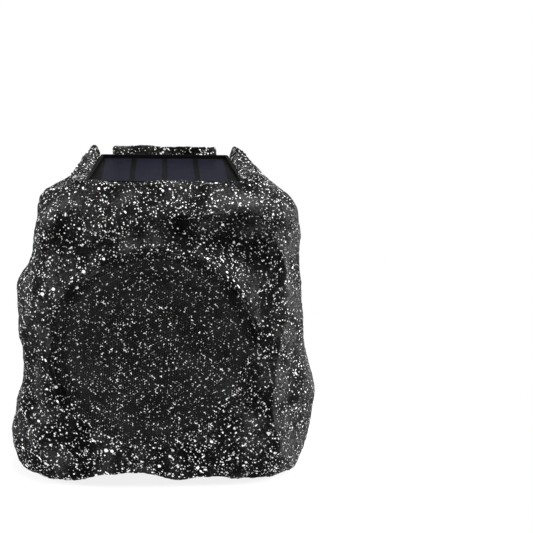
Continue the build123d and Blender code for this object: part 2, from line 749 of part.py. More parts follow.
# Screws through the driver flange
with BuildPart() as driver_screws:
    with BuildSketch(driver_plane.offset(flange_front)):
        with PolarLocations(screw_circle, DRIVER_SCREWS, 45):
            Circle(DRIVER_SCREW_HEAD)
    extrude(amount=HEAD_THICK)
    with BuildSketch(driver_plane.offset(flange_front)):
        with PolarLocations(screw_circle, DRIVER_SCREWS, 45):
            Circle(DRIVER_SCREW_RADIUS)
    extrude(amount=-DRIVER_SCREW_LENGTH)
driver_screws.part.label = "driver_screws"
export_step(driver_screws.part, "parts/driver_screws.step")

# Solar tray with four pegs that drop through the deck floor
peg_length = DECK_FLOOR - RUNNING
with BuildPart() as solar_tray:
    with BuildSketch(Plane.XY.offset(deck_floor)):
        with BuildLine():
            FilletPolyline(*deck_corners(FIT), radius=DECK_CORNER - FIT, close=True)
        make_face()
    extrude(amount=deck_top - deck_floor)
    with BuildSketch(Plane.XY.offset(backsheet_floor)):
        with BuildLine():
            Polyline(*deck_corners(FIT + TRAY_WALL), close=True)
        make_face()
    extrude(amount=ROCK_HEIGHT, mode=Mode.SUBTRACT)
    with BuildSketch(Plane.XY.offset(deck_floor)):
        with Locations(*peg_places):
            Circle(PEG_RADIUS)
    extrude(amount=-peg_length)
    with BuildSketch(Plane.XY.offset(deck_floor - peg_length)):
        with Locations(*peg_places):
            Circle(SMALL_SCREW_RADIUS + BORE_PLAY)
    extrude(amount=peg_length + TRAY_FLOOR / 2, mode=Mode.SUBTRACT)
solar_tray.part.label = "solar_tray"
export_step(solar_tray.part, "parts/solar_tray.step")

# Black sheet under the cells
with BuildPart() as solar_backsheet:
    with BuildSketch(Plane.XY.offset(backsheet_floor)):
        with BuildLine():
            Polyline(*deck_corners(2 * FIT + TRAY_WALL), close=True)
        make_face()
    extrude(amount=BACKSHEET_THICK)
solar_backsheet.part.label = "solar_backsheet"
export_step(solar_backsheet.part, "parts/solar_backsheet.step")

# Row of solar cells
cell_floor = backsheet_floor + BACKSHEET_THICK
with BuildPart() as solar_cells:
    with BuildSketch(Plane.XY.offset(cell_floor)):
        with Locations((0, deck_middle)):
            with GridLocations(CELL_WIDTH + CELL_GAP, 0, CELL_COUNT, 1):
                Rectangle(CELL_WIDTH, CELL_LENGTH)
    extrude(amount=CELL_THICK)
solar_cells.part.label = "solar_cells"
export_step(solar_cells.part, "parts/solar_cells.step")

# Clear sheet over the cells
with BuildPart() as solar_cover:
    with BuildSketch(Plane.XY.offset(cell_floor + CELL_THICK)):
        with BuildLine():
            Polyline(*deck_corners(2 * FIT + TRAY_WALL), close=True)
        make_face()
    extrude(amount=COVER_THICK)
solar_cover.part.label = "solar_cover"
export_step(solar_cover.part, "parts/solar_cover.step")

# Washer-head screws that pull the tray's pegs down from inside
with BuildPart() as solar_screws:
    with BuildSketch(Plane.XY.offset(cavity_top)):
        with Locations(*peg_places):
            Circle(PEG_RADIUS + FIT + SMALL_SCREW_RADIUS)
    extrude(amount=-HEAD_THICK)
    with BuildSketch(Plane.XY.offset(cavity_top)):
        with Locations(*peg_places):
            Circle(SMALL_SCREW_RADIUS)
    extrude(amount=DECK_FLOOR)
solar_screws.part.label = "solar_screws"
export_step(solar_screws.part, "parts/solar_screws.step")

# Rear control panel with its button holes, flap hinge lugs and board posts
port_width = SOCKET_WIDTH + 4 * FIT
port_tall = SOCKET_TALL + 4 * FIT
hinge_y = PORT_Y - FLAP_LENGTH / 2
flap_back = panel_face + RUNNING
hinge_level = flap_back + FLAP_THICK - FLAP_KNUCKLE
lug_places = [(PORT_X + way * (FLAP_WIDTH / 2 + RUNNING + LUG_WIDTH / 2), hinge_y) for way in (-1, 1)]
hinge_plane = Plane(
    origin=control_plane.from_local_coords((PORT_X, hinge_y, hinge_level)),
    x_dir=control_plane.y_dir,
    z_dir=control_plane.x_dir,
)
hinge_span = FLAP_WIDTH / 2 + RUNNING + LUG_WIDTH
with BuildPart() as control_panel:
    with BuildSketch(control_plane.offset(panel_back)):
        RectangleRounded(PANEL_WIDTH, PANEL_HEIGHT, PANEL_CORNER)
    extrude(amount=PANEL_THICK)
    with BuildSketch(control_plane.offset(panel_face)):
        with Locations(*lug_places):
            Rectangle(LUG_WIDTH, 2 * FLAP_KNUCKLE)
    extrude(amount=RUNNING + FLAP_THICK)
    with BuildSketch(control_plane.offset(panel_back)):
        with Locations(*post_places):
            Circle(BOARD_POST)
    extrude(amount=-BOARD_GAP)
    with BuildSketch(control_plane.offset(panel_back)):
        with Locations(*button_places):
            Circle(BUTTON_RADIUS + RUNNING)
        with Locations((LIGHT_X, LIGHT_Y)):
            Circle(LIGHT_RADIUS + BORE_PLAY)
        with Locations((PORT_X, PORT_Y)):
            RectangleRounded(port_width, port_tall, port_tall / 2 - BORE_PLAY)
        with Locations(*panel_screw_places):
            Circle(SMALL_SCREW_RADIUS + BORE_PLAY)
    extrude(amount=PANEL_THICK, mode=Mode.SUBTRACT)
    with BuildSketch(control_plane.offset(board_face)):
        with Locations(*post_places):
            Circle(SMALL_SCREW_RADIUS + BORE_PLAY)
    extrude(amount=BOARD_GAP - FIT, mode=Mode.SUBTRACT)
    with BuildSketch(hinge_plane):
        Circle(FLAP_KNUCKLE + RUNNING)
    extrude(amount=FLAP_WIDTH / 2 + RUNNING, both=True, mode=Mode.SUBTRACT)
    with BuildSketch(hinge_plane):
        Circle(FLAP_PIN + BORE_PLAY)
    extrude(amount=hinge_span, both=True, mode=Mode.SUBTRACT)
control_panel.part.label = "control_panel"
export_step(control_panel.part, "parts/control_panel.step")

# Foam gasket between the control panel and its seat
with BuildPart() as control_gasket:
    with BuildSketch(control_plane):
        RectangleRounded(PANEL_WIDTH, PANEL_HEIGHT, PANEL_CORNER)
        RectangleRounded(opening_width, opening_height, PANEL_CORNER / 2, mode=Mode.SUBTRACT)
        with Locations(*panel_screw_places):
            Circle(SMALL_SCREW_RADIUS + BORE_PLAY, mode=Mode.SUBTRACT)
    extrude(amount=PANEL_GASKET)
control_gasket.part.label = "control_gasket"
export_step(control_gasket.part, "parts/control_gasket.step")

# Screws of the control panel
with BuildPart() as control_screws:
    with BuildSketch(control_plane.offset(panel_face)):
        with Locations(*panel_screw_places):
            Circle(SMALL_SCREW_HEAD)
    extrude(amount=HEAD_THICK)
    with BuildSketch(control_plane.offset(panel_face)):
        with Locations(*panel_screw_places):
            Circle(SMALL_SCREW_RADIUS)
    extrude(amount=-(panel_face + SEAT_THICK))
control_screws.part.label = "control_screws"
export_step(control_screws.part, "parts/control_screws.step")

# Buttons: cap through the panel, flange behind it, stem towards its switch
button_names = ["power_button", "pairing_button", "volume_down_button", "volume_up_button"]
flange_top = panel_back - RUNNING
flange_low = flange_top - BUTTON_FLANGE_THICK
stem_end = board_face + SWITCH_TALL + BUTTON_TRAVEL + RUNNING
for button_name, place in zip(button_names, button_places):
    with BuildPart() as button:
        with BuildSketch(control_plane.offset(flange_low)):
            with Locations(place):
                Circle(BUTTON_RADIUS + BUTTON_FLANGE)
        extrude(amount=BUTTON_FLANGE_THICK)
        with BuildSketch(control_plane.offset(flange_top)):
            with Locations(place):
                Circle(BUTTON_RADIUS)
        extrude(amount=panel_face + BUTTON_PROUD - flange_top)
        fillet(button.edges().sort_by(Axis.Y)[-1], radius=BUTTON_PROUD / 2)
        with BuildSketch(control_plane.offset(flange_low)):
            with Locations(place):
                Circle(BUTTON_STEM)
        extrude(amount=stem_end - flange_low)
    button.part.label = button_name
    export_step(button.part, f"parts/{button_name}.step")

# Light pipe of the status light
with BuildPart() as status_light:
    with BuildSketch(control_plane.offset(board_face + SWITCH_TALL)):
        with Locations((LIGHT_X, LIGHT_Y)):
            Circle(LIGHT_RADIUS)
    extrude(amount=panel_face + RUNNING - board_face - SWITCH_TALL)
    with BuildSketch(control_plane.offset(panel_back)):
        with Locations((LIGHT_X, LIGHT_Y)):
            Circle(LIGHT_RADIUS + BUTTON_FLANGE)
    extrude(amount=-BUTTON_FLANGE_THICK)
status_light.part.label = "status_light"
export_step(status_light.part, "parts/status_light.step")

# Light-emitting diode on the board
with BuildPart() as status_led:
    with BuildSketch(control_plane.offset(board_face)):
        with Locations((LIGHT_X, LIGHT_Y)):
            Circle(LIGHT_RADIUS)
    extrude(amount=SWITCH_TALL)
status_led.part.label = "status_led"
export_step(status_led.part, "parts/status_led.step")

# Charging socket: metal shell with a tongue, standing on the board
with BuildPart() as charge_socket:
    socket_length = panel_face - board_face - FIT
    with BuildSketch(control_plane.offset(board_face)):
        with Locations((PORT_X, PORT_Y)):
            RectangleRounded(SOCKET_WIDTH, SOCKET_TALL, SOCKET_TALL / 2 - BORE_PLAY)
    extrude(amount=socket_length)
    with BuildSketch(control_plane.offset(board_face + socket_length / 2)):
        with Locations((PORT_X, PORT_Y)):
            hollow_tall = SOCKET_TALL - 2 * SOCKET_WALL
            RectangleRounded(SOCKET_WIDTH - 2 * SOCKET_WALL, hollow_tall, hollow_tall / 2 - BORE_PLAY)
            Rectangle(TONGUE_WIDTH, TONGUE_THICK, mode=Mode.SUBTRACT)
    extrude(amount=socket_length / 2, mode=Mode.SUBTRACT)
charge_socket.part.label = "charge_socket"
export_step(charge_socket.part, "parts/charge_socket.step")

# Rubber flap over the charging socket, turning on its pin
with BuildPart() as port_cover:
    with BuildSketch(hinge_plane):
        Circle(FLAP_KNUCKLE)
        with Locations((FLAP_LENGTH / 2, FLAP_THICK / 2 - hinge_level + flap_back)):
            Rectangle(FLAP_LENGTH, FLAP_THICK)
        Circle(FLAP_PIN + BORE_PLAY, mode=Mode.SUBTRACT)
    extrude(amount=FLAP_WIDTH / 2, both=True)
    lip = port_cover.edges().filter_by(Axis.X).group_by(Axis.Z)[-1]
    fillet(lip, radius=FLAP_THICK / 3)
port_cover.part.label = "port_cover"
export_step(port_cover.part, "parts/port_cover.step")

# Pin of the flap
with BuildPart() as port_cover_pin:
    with BuildSketch(hinge_plane):
        Circle(FLAP_PIN)
    extrude(amount=hinge_span, both=True)
port_cover_pin.part.label = "port_cover_pin"
export_step(port_cover_pin.part, "parts/port_cover_pin.step")

# Circuit board on the panel's posts
with BuildPart() as main_board:
    with BuildSketch(control_plane.offset(board_back)):
        Rectangle(BOARD_WIDTH, BOARD_HEIGHT)
        with Locations(*post_places):
            Circle(SMALL_SCREW_RADIUS + BORE_PLAY, mode=Mode.SUBTRACT)
    extrude(amount=BOARD_THICK)
main_board.part.label = "main_board"
export_step(main_board.part, "parts/main_board.step")

# Push switches behind the buttons
with BuildPart() as button_switches:
    with BuildSketch(control_plane.offset(board_face)):
        with Locations(*button_places):
            Rectangle(SWITCH_SIDE, SWITCH_SIDE)
    extrude(amount=SWITCH_TALL)
button_switches.part.label = "button_switches"
export_step(button_switches.part, "parts/button_switches.step")

# Shielded radio module
with BuildPart() as wireless_module:
    with BuildSketch(control_plane.offset(board_back)):
        with Locations((MODULE_X, MODULE_Y)):
            Rectangle(MODULE_WIDTH, MODULE_TALL)
    extrude(amount=-MODULE_THICK)
wireless_module.part.label = "wireless_module"
export_step(wireless_module.part, "parts/wireless_module.step")

# Finned heat sink of the amplifier
with BuildPart() as heat_sink:
    with BuildSketch(control_plane.offset(board_back)):
        with Locations((SINK_X, 0)):
            Rectangle(SINK_WIDTH, SINK_TALL)
    extrude(amount=-SINK_BASE)
    with BuildSketch(control_plane.offset(board_back - SINK_BASE)):
        with Locations((SINK_X, 0)):
            with GridLocations((SINK_WIDTH - SINK_FIN) / (SINK_FINS - 1), 0, SINK_FINS, 1):
                Rectangle(SINK_FIN, SINK_TALL)
    extrude(amount=-SINK_DEEP)
heat_sink.part.label = "heat_sink"
export_step(heat_sink.part, "parts/heat_sink.step")

# Supply capacitors
with BuildPart() as board_capacitors:
    with BuildSketch(control_plane.offset(board_back)):
        with Locations((MODULE_X, -MODULE_Y)):
            with GridLocations(CAPACITOR_PITCH, 0, 2, 1):
                Circle(CAPACITOR_RADIUS)
    extrude(amount=-CAPACITOR_TALL)
board_capacitors.part.label = "board_capacitors"
export_step(board_capacitors.part, "parts/board_capacitors.step")

# Plug connectors for the three leads
connector_places = [(CONNECTOR_X, CONNECTOR_PITCH * i) for i in (1, 0, -1)]
with BuildPart() as board_connectors:
    with BuildSketch(control_plane.offset(board_back)):
        with Locations(*connector_places):
            Rectangle(CONNECTOR_WIDTH, CONNECTOR_TALL)
    extrude(amount=-CONNECTOR_DEEP)
board_connectors.part.label = "board_connectors"
export_step(board_connectors.part, "parts/board_connectors.step")

# Screws that hold the board on its posts
with BuildPart() as board_screws:
    with BuildSketch(control_plane.offset(board_back)):
        with Locations(*post_places):
            Circle(SMALL_SCREW_HEAD - FIT)
    extrude(amount=-HEAD_THICK)
    with BuildSketch(control_plane.offset(board_back)):
        with Locations(*post_places):
            Circle(SMALL_SCREW_RADIUS)
    extrude(amount=BOARD_THICK + BOARD_GAP / 2)
board_screws.part.label = "board_screws"
export_step(board_screws.part, "parts/board_screws.step")

# Battery: two round cells in an open tray on the base plate
tray_inside = BATTERY_LENGTH + 2 * FIT
tray_across = 4 * CELL_RADIUS + 3 * FIT
tray_length = tray_inside + 2 * BATTERY_TRAY_WALL
tray_width = tray_across + 2 * BATTERY_TRAY_WALL
cell_level = base_top + BATTERY_TRAY_WALL + CELL_RADIUS
with BuildPart() as battery_tray:
    with BuildSketch(Plane.XY.offset(base_top)):
        with Locations((0, BATTERY_Y)):
            Rectangle(tray_length, tray_width)
    extrude(amount=BATTERY_TRAY_TALL)
    with BuildSketch(Plane.XY.offset(base_top + BATTERY_TRAY_WALL)):
        with Locations((0, BATTERY_Y)):
            Rectangle(tray_inside, tray_across)
    extrude(amount=BATTERY_TRAY_TALL, mode=Mode.SUBTRACT)
battery_tray.part.label = "battery_tray"
export_step(battery_tray.part, "parts/battery_tray.step")

with BuildPart() as battery_cells:
    with BuildSketch(Plane.YZ):
        with Locations((BATTERY_Y, cell_level)):
            with GridLocations(2 * CELL_RADIUS + FIT, 0, 2, 1):
                Circle(CELL_RADIUS)
    extrude(amount=BATTERY_LENGTH / 2, both=True)
battery_cells.part.label = "battery_cells"
export_step(battery_cells.part, "parts/battery_cells.step")

# Steel strap that holds the tray and the cells down
strap_inside = tray_width / 2
strap_top = cell_level + CELL_RADIUS
with BuildPart() as battery_strap:
    with BuildSketch(Plane.YZ):
        with Locations((BATTERY_Y, (strap_top + base_top) / 2)):
            Rectangle(2 * (strap_inside + STRAP_THICK), strap_top - base_top)
        with Locations((BATTERY_Y, strap_top + STRAP_THICK / 2)):
            Rectangle(2 * (strap_inside + STRAP_THICK), STRAP_THICK)
        with Locations((BATTERY_Y, base_top + STRAP_THICK / 2)):
            Rectangle(2 * (strap_inside + STRAP_FOOT), STRAP_THICK)
        with Locations((BATTERY_Y, (strap_top + base_top) / 2)):
            Rectangle(2 * strap_inside, strap_top - base_top, mode=Mode.SUBTRACT)
    extrude(amount=STRAP_WIDTH / 2, both=True)
    strap_screw_places = [(0, BATTERY_Y + way * (strap_inside + STRAP_FOOT / 2)) for way in (-1, 1)]
    with BuildSketch(Plane.XY.offset(base_top)):
        with Locations(*strap_screw_places):
            Circle(SMALL_SCREW_RADIUS + BORE_PLAY)
    extrude(amount=STRAP_THICK, mode=Mode.SUBTRACT)
battery_strap.part.label = "battery_strap"
export_step(battery_strap.part, "parts/battery_strap.step")

# Screws of the strap
with BuildPart() as battery_screws:
    with BuildSketch(Plane.XY.offset(base_top + STRAP_THICK)):
        with Locations(*strap_screw_places):
            Circle(SMALL_SCREW_HEAD)
    extrude(amount=HEAD_THICK)
    with BuildSketch(Plane.XY.offset(base_top + STRAP_THICK)):
        with Locations(*strap_screw_places):
            Circle(SMALL_SCREW_RADIUS)
    extrude(amount=-(STRAP_THICK + BASE_THICK / 2))
battery_screws.part.label = "battery_screws"
export_step(battery_screws.part, "parts/battery_screws.step")

# Base plate that closes the rock from below
with BuildPart() as base_plate:
    for height in (BASE_LIFT, base_top):
        with BuildSketch(Plane.XY.offset(height)):
            make_face(rock_outline(height, SKIRT_WALL + FIT))
    loft()
    with BuildSketch(Plane.XY.offset(BASE_LIFT)):
        with Locations(*boss_places):
            Circle(BASE_SCREW_RADIUS + BORE_PLAY)
    extrude(amount=BASE_THICK, mode=Mode.SUBTRACT)
    with BuildSketch(Plane.XY.offset(base_top)):
        with Locations(*strap_screw_places):
            Circle(SMALL_SCREW_RADIUS + BORE_PLAY)
    extrude(amount=-BASE_THICK / 2, mode=Mode.SUBTRACT)
base_plate.part.label = "base_plate"
export_step(base_plate.part, "parts/base_plate.step")

# Rubber seal between the base plate and the ledge inside the skirt
with BuildPart() as base_seal:
    for height in (base_top, ledge):
        with BuildSketch(Plane.XY.offset(height)):
            make_face(rock_outline(height, SKIRT_WALL + FIT))
    loft()
    for height in (base_top, ledge):
        with BuildSketch(Plane.XY.offset(height)):
            make_face(rock_outline(height, SHELL_WALL + SEAL_OVERLAP))
    loft(mode=Mode.SUBTRACT)
    with BuildSketch(Plane.XY.offset(base_top)):
        with Locations(*boss_places):
            Circle(BASE_SCREW_RADIUS + BORE_PLAY)
    extrude(amount=SEAL_THICK, mode=Mode.SUBTRACT)
base_seal.part.label = "base_seal"
export_step(base_seal.part, "parts/base_seal.step")

# Screws that hold the base plate to the bosses
with BuildPart() as base_screws:
    with BuildSketch(Plane.XY.offset(BASE_LIFT)):
        with Locations(*boss_places):
            Circle(DRIVER_SCREW_HEAD)
    extrude(amount=-HEAD_THICK)
    with BuildSketch(Plane.XY.offset(BASE_LIFT)):
        with Locations(*boss_places):
            Circle(BASE_SCREW_RADIUS)
    extrude(amount=BASE_SCREW_LENGTH)
base_screws.part.label = "base_screws"
export_step(base_screws.part, "parts/base_screws.step")

# Rubber feet under the base plate
with BuildPart() as rubber_feet:
    with BuildSketch(Plane.XY.offset(BASE_LIFT)):
        with Locations(*foot_places):
            Circle(FOOT_RADIUS)
    extrude(amount=-BASE_LIFT, taper=FOOT_TAPER)
rubber_feet.part.label = "rubber_feet"
export_step(rubber_feet.part, "parts/rubber_feet.step")


def lead_end(index):
    """Place on a board connector where its lead goes in."""
    x, y = connector_places[index]
    return control_plane.from_local_coords((x, y, board_back - CONNECTOR_DEEP))


solar_plug = lead_end(0)
driver_plug = lead_end(1)
battery_plug = lead_end(2)

# Lead from the solar panel, through the deck floor, to the board
with BuildPart() as solar_lead:
    with BuildLine() as solar_route:
        FilletPolyline(
            (SOLAR_LEAD_X, SOLAR_LEAD_Y, deck_floor),
            (SOLAR_LEAD_X, SOLAR_LEAD_Y, (deck_floor + solar_plug.Z) / 2),
            (solar_plug.X, solar_plug.Y - 2 * LEAD_BEND, solar_plug.Z),
            solar_plug,
            radius=LEAD_BEND,
        )
    with BuildSketch(Plane(origin=solar_route.line @ 0, z_dir=solar_route.line % 0)):
        Circle(LEAD_RADIUS)
    sweep(path=solar_route.line)
solar_lead.part.label = "solar_lead"
export_step(solar_lead.part, "parts/solar_lead.step")

# Lead from the driver's terminal strip, past the magnet, to the board
with BuildPart() as driver_lead:
    with BuildLine() as driver_route:
        FilletPolyline(
            driver_plane.from_local_coords((-terminal_radius, 0, strip_back)),
            driver_plane.from_local_coords((-terminal_radius, 0, yoke_back - LEAD_BEND)),
            (driver_plug.X, driver_plug.Y - 2 * LEAD_BEND, driver_plug.Z),
            driver_plug,
            radius=LEAD_BEND,
        )
    with BuildSketch(Plane(origin=driver_route.line @ 0, z_dir=driver_route.line % 0)):
        Circle(LEAD_RADIUS)
    sweep(path=driver_route.line)
driver_lead.part.label = "driver_lead"
export_step(driver_lead.part, "parts/driver_lead.step")

# Lead from the end of the battery tray to the board
tray_end = -tray_length / 2
lead_level = base_top + BATTERY_TRAY_TALL / 2
with BuildPart() as battery_lead:
    with BuildLine() as battery_route:
        FilletPolyline(
            (tray_end, BATTERY_Y, lead_level),
            (tray_end - LEAD_BEND, BATTERY_Y, lead_level),
            (tray_end - LEAD_BEND, BATTERY_Y, battery_plug.Z - LEAD_BEND),
            (battery_plug.X, battery_plug.Y - LEAD_BEND, battery_plug.Z),
            battery_plug,
            radius=LEAD_BEND / 3,
        )
    with BuildSketch(Plane(origin=battery_route.line @ 0, z_dir=battery_route.line % 0)):
        Circle(LEAD_RADIUS)
    sweep(path=battery_route.line)
battery_lead.part.label = "battery_lead"
export_step(battery_lead.part, "parts/battery_lead.step")
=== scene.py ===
import bpy
from math import cos, pi, radians, sin, sqrt
from mathutils import Matrix, Vector
from mathutils.bvhtree import BVHTree
import numpy as np


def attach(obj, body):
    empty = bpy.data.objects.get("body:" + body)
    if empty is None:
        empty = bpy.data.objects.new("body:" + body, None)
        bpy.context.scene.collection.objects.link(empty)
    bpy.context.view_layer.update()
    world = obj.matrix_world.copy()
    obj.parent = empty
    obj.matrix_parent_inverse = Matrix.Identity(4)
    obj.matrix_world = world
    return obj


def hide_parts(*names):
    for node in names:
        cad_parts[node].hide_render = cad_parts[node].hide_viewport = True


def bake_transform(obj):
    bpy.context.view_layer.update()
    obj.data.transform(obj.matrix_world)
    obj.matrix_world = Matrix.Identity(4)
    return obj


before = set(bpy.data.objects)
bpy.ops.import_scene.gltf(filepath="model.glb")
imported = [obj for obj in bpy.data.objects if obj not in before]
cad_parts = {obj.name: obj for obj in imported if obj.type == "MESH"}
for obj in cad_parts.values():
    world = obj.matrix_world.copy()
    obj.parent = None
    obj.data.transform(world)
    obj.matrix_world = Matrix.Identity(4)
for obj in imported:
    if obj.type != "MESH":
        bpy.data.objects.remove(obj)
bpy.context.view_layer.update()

# Rock housing: one hollow plastic moulding with cast stone grain, painted charcoal
# and spattered with white and grey flecks. The lumps between the big forms are
# raised on a fine, even mesh, and the seats inside stay as they were moulded.
ROCK_GRID = 0.0016
WELD = 0.00001


def only(piece):
    """Selects one piece and makes it the active one."""
    bpy.ops.object.select_all(action="DESELECT")
    piece.select_set(True)
    bpy.context.view_layer.objects.active = piece


def applied(piece, kind, **settings):
    """Adds a modifier to a piece, sets it up and applies it."""
    only(piece)
    modifier = piece.modifiers.new(kind.lower(), kind)
    for key, value in settings.items():
        setattr(modifier, key, value)
    bpy.ops.object.modifier_apply(modifier=modifier.name)


rock = bpy.data.objects.new("rock_housing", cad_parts["rock_shell"].data.copy())
bpy.context.scene.collection.objects.link(rock)
only(rock)
bpy.ops.object.mode_set(mode="EDIT")
bpy.ops.mesh.select_all(action="SELECT")
bpy.ops.mesh.remove_doubles(threshold=WELD)
bpy.ops.object.mode_set(mode="OBJECT")
applied(rock, "REMESH", mode="VOXEL", voxel_size=ROCK_GRID, use_smooth_shade=True)

# Broken edges on the front: a brow with a sharp lower edge over the hollow at the
# right, a ridge down each front corner and a lip on the arch over the grille. The
# wall moves as one, inside and out, and stays as it is around the grille's seat.
BROW_EDGE = [(-0.02, 0.203), (0.005, 0.207), (0.03, 0.2105), (0.062, 0.211), (0.08, 0.203)]
BROW_LEFT, BROW_LEFT_RUN = -0.02, 0.03
BROW_RIGHT, BROW_RIGHT_RUN = 0.088, 0.014
BROW_RISE, BROW_FADE = 0.003, 0.009
UNDERCUT, UNDERCUT_FADE, UNDERCUT_STEP = 0.0044, 0.014, 0.003
RIGHT_RIDGE = [
    (0.01, 0.0925), (0.022, 0.0885), (0.036, 0.0875), (0.05, 0.083), (0.066, 0.0798),
    (0.082, 0.083), (0.1, 0.0848), (0.112, 0.0868), (0.128, 0.0905), (0.146, 0.0935),
    (0.17, 0.09), (0.194, 0.08), (0.209, 0.064),
]
LEFT_RIDGE = [
    (0.01, -0.082), (0.027, -0.09), (0.055, -0.11), (0.08, -0.118), (0.11, -0.112),
    (0.125, -0.105), (0.175, -0.095), (0.2, -0.09),
]
RIGHT_RIDGE_TOP, LEFT_RIDGE_TOP = 0.214, 0.2
RIDGE_FOOT, RIDGE_RUN = 0.012, 0.02
RIDGE_RISE, RIDGE_FADE = 0.004, 0.005
OUTER_DIP, OUTER_DIP_OFF, OUTER_DIP_SPREAD = 0.0035, 0.014, 0.008
INNER_DIP, INNER_DIP_OFF, INNER_DIP_SPREAD = 0.0022, -0.013, 0.007
SEAT_MIDDLE = (-0.007, 0.106)
SEAT_REACH, SEAT_RUN = 0.082, 0.008
ARCH_LIP, ARCH_LIP_RISE, ARCH_LIP_FADE = 0.077, 0.0042, 0.0055
ARCH_START, ARCH_START_RUN = 0.3, 0.35
ARCH_END, ARCH_END_RUN = 1.25, 0.3
FRONT_LINE, FRONT_RUN = -0.035, 0.02
FRONT_TOP, FRONT_TOP_RUN = 0.227, 0.008


def eased(value):
    """Rises smoothly from nought to one."""
    value = np.clip(value, 0, 1)
    return value * value * (3 - 2 * value)


def hill(value, middle, spread):
    """Rises to one at its middle and falls off on both sides."""
    return np.exp(-((value - middle) / spread) ** 2)


spots = np.array([v.co for v in rock.data.vertices])
x, y, z = spots.T
brow_x, brow_z = np.array(BROW_EDGE).T
over = z - np.interp(x, brow_x, brow_z)
span = eased((x - BROW_LEFT) / BROW_LEFT_RUN) * eased((BROW_RIGHT - x) / BROW_RIGHT_RUN)
push = span * np.where(over > 0, BROW_RISE * np.exp(-over / BROW_FADE), 0.0)
cut = UNDERCUT * np.exp(over / UNDERCUT_FADE) * eased(-over / UNDERCUT_STEP)
push -= span * np.where(over < 0, cut, 0.0)
for ridge, outward, top in ((RIGHT_RIDGE, 1, RIGHT_RIDGE_TOP), (LEFT_RIDGE, -1, LEFT_RIDGE_TOP)):
    ridge_z, ridge_x = np.array(ridge).T
    off = outward * (x - np.interp(z, ridge_z, ridge_x))
    edge = RIDGE_RISE * np.exp(-np.abs(off) / RIDGE_FADE)
    edge -= (OUTER_DIP * hill(off, OUTER_DIP_OFF, OUTER_DIP_SPREAD)
             + INNER_DIP * hill(off, INNER_DIP_OFF, INNER_DIP_SPREAD))
    push += edge * eased((z - RIDGE_FOOT) / RIDGE_RUN) * eased((top - z) / RIDGE_RUN)
across, up = x - SEAT_MIDDLE[0], z - SEAT_MIDDLE[1]
around = np.hypot(across, up)
push *= eased((around - SEAT_REACH) / SEAT_RUN)
bearing = np.arctan2(across, up)
lip = eased((bearing - ARCH_START) / ARCH_START_RUN) * eased((ARCH_END - bearing) / ARCH_END_RUN)
lip_push = ARCH_LIP_RISE * lip * np.exp((ARCH_LIP - around) / ARCH_LIP_FADE)
push += np.where(around > ARCH_LIP, lip_push, 0.0)
y -= push * eased((FRONT_LINE - y) / FRONT_RUN) * eased((FRONT_TOP - z) / FRONT_TOP_RUN)

# Horns and front lip of the deck: the horns lean away from the solar panel, the lip
# stands up to the panel's front edge in low waves, the back rim is worn down towards
# the right, and the left flank and its shoulder are drawn in.
DECK_FRONT, DECK_HALF_WIDTH = -0.064, 0.0595
DECK_NARROWING, DECK_LENGTH = 7, 116
HORN_FOOT, HORN_SLOPE, HORN_LEAN = 0.2315, 2.6, 0.0035
HORN_WALL, HORN_INNER, HORN_REACH = 0.007, -0.002, 0.066
LIP_LINE, LIP_SPREAD, LIP_RISE = -0.067, 0.003, 0.0011
LIP_WAVE, LIP_WAVE_RATE = 0.0006, 95
LIP_FOOT, LIP_FOOT_RUN = 0.2265, 0.002
LIP_END, LIP_END_RUN = 0.066, 0.006
RIM_WEAR = 0.35
RIM_FRONT, RIM_FRONT_RUN = 0.052, 0.004
RIM_LEFT, RIM_LEFT_RUN = -0.01, 0.04
FLANK_DRAWN, FLANK_START, FLANK_FOOT, FLANK_TOP, FLANK_RUN = 0.0028, 0.085, 0.025, 0.215, 0.02
SHOULDER_BREAK, SHOULDER_RUN = -0.01, 0.02

deck_side = DECK_HALF_WIDTH - (y - DECK_FRONT) * DECK_NARROWING / DECK_LENGTH
beside = np.abs(x) - deck_side
on_horn = (beside > HORN_INNER) * (beside < HORN_WALL) * (np.abs(y) < HORN_REACH)
lean = np.clip((z - HORN_FOOT) / HORN_SLOPE, 0, HORN_LEAN) * on_horn
x += np.sign(x) * lean * (1 - beside / HORN_WALL)
waves = LIP_RISE + LIP_WAVE * np.cos(x * LIP_WAVE_RATE)
z += (waves * hill(y, LIP_LINE, LIP_SPREAD) * eased((z - LIP_FOOT) / LIP_FOOT_RUN)
      * eased((LIP_END - np.abs(x)) / LIP_END_RUN))
z -= (RIM_WEAR * np.clip(z - HORN_FOOT, 0, None) * eased((y - RIM_FRONT) / RIM_FRONT_RUN)
      * eased((x - RIM_LEFT) / RIM_LEFT_RUN))
x += (FLANK_DRAWN * eased((-x - FLANK_START) / FLANK_RUN) * eased((z - FLANK_FOOT) / FLANK_RUN)
      * eased((FLANK_TOP - z) / FLANK_RUN))
everywhere = np.ones(len(x))
behind = eased((y - SHOULDER_BREAK) / SHOULDER_RUN)
before = eased((SHOULDER_BREAK - y) / SHOULDER_RUN)
for drawn, level, spread, start, run, part in (
    (0.0072, 0.2245, 0.0045, 0.064, 0.01, everywhere),
    (0.0052, 0.2188, 0.004, 0.064, 0.01, behind),
    (0.002, 0.212, 0.005, 0.07, 0.012, before),
):
    x += drawn * hill(z, level, spread) * eased((-x - start) / run) * part
rock.data.vertices.foreach_set("co", spots.ravel())
rock.data.update()

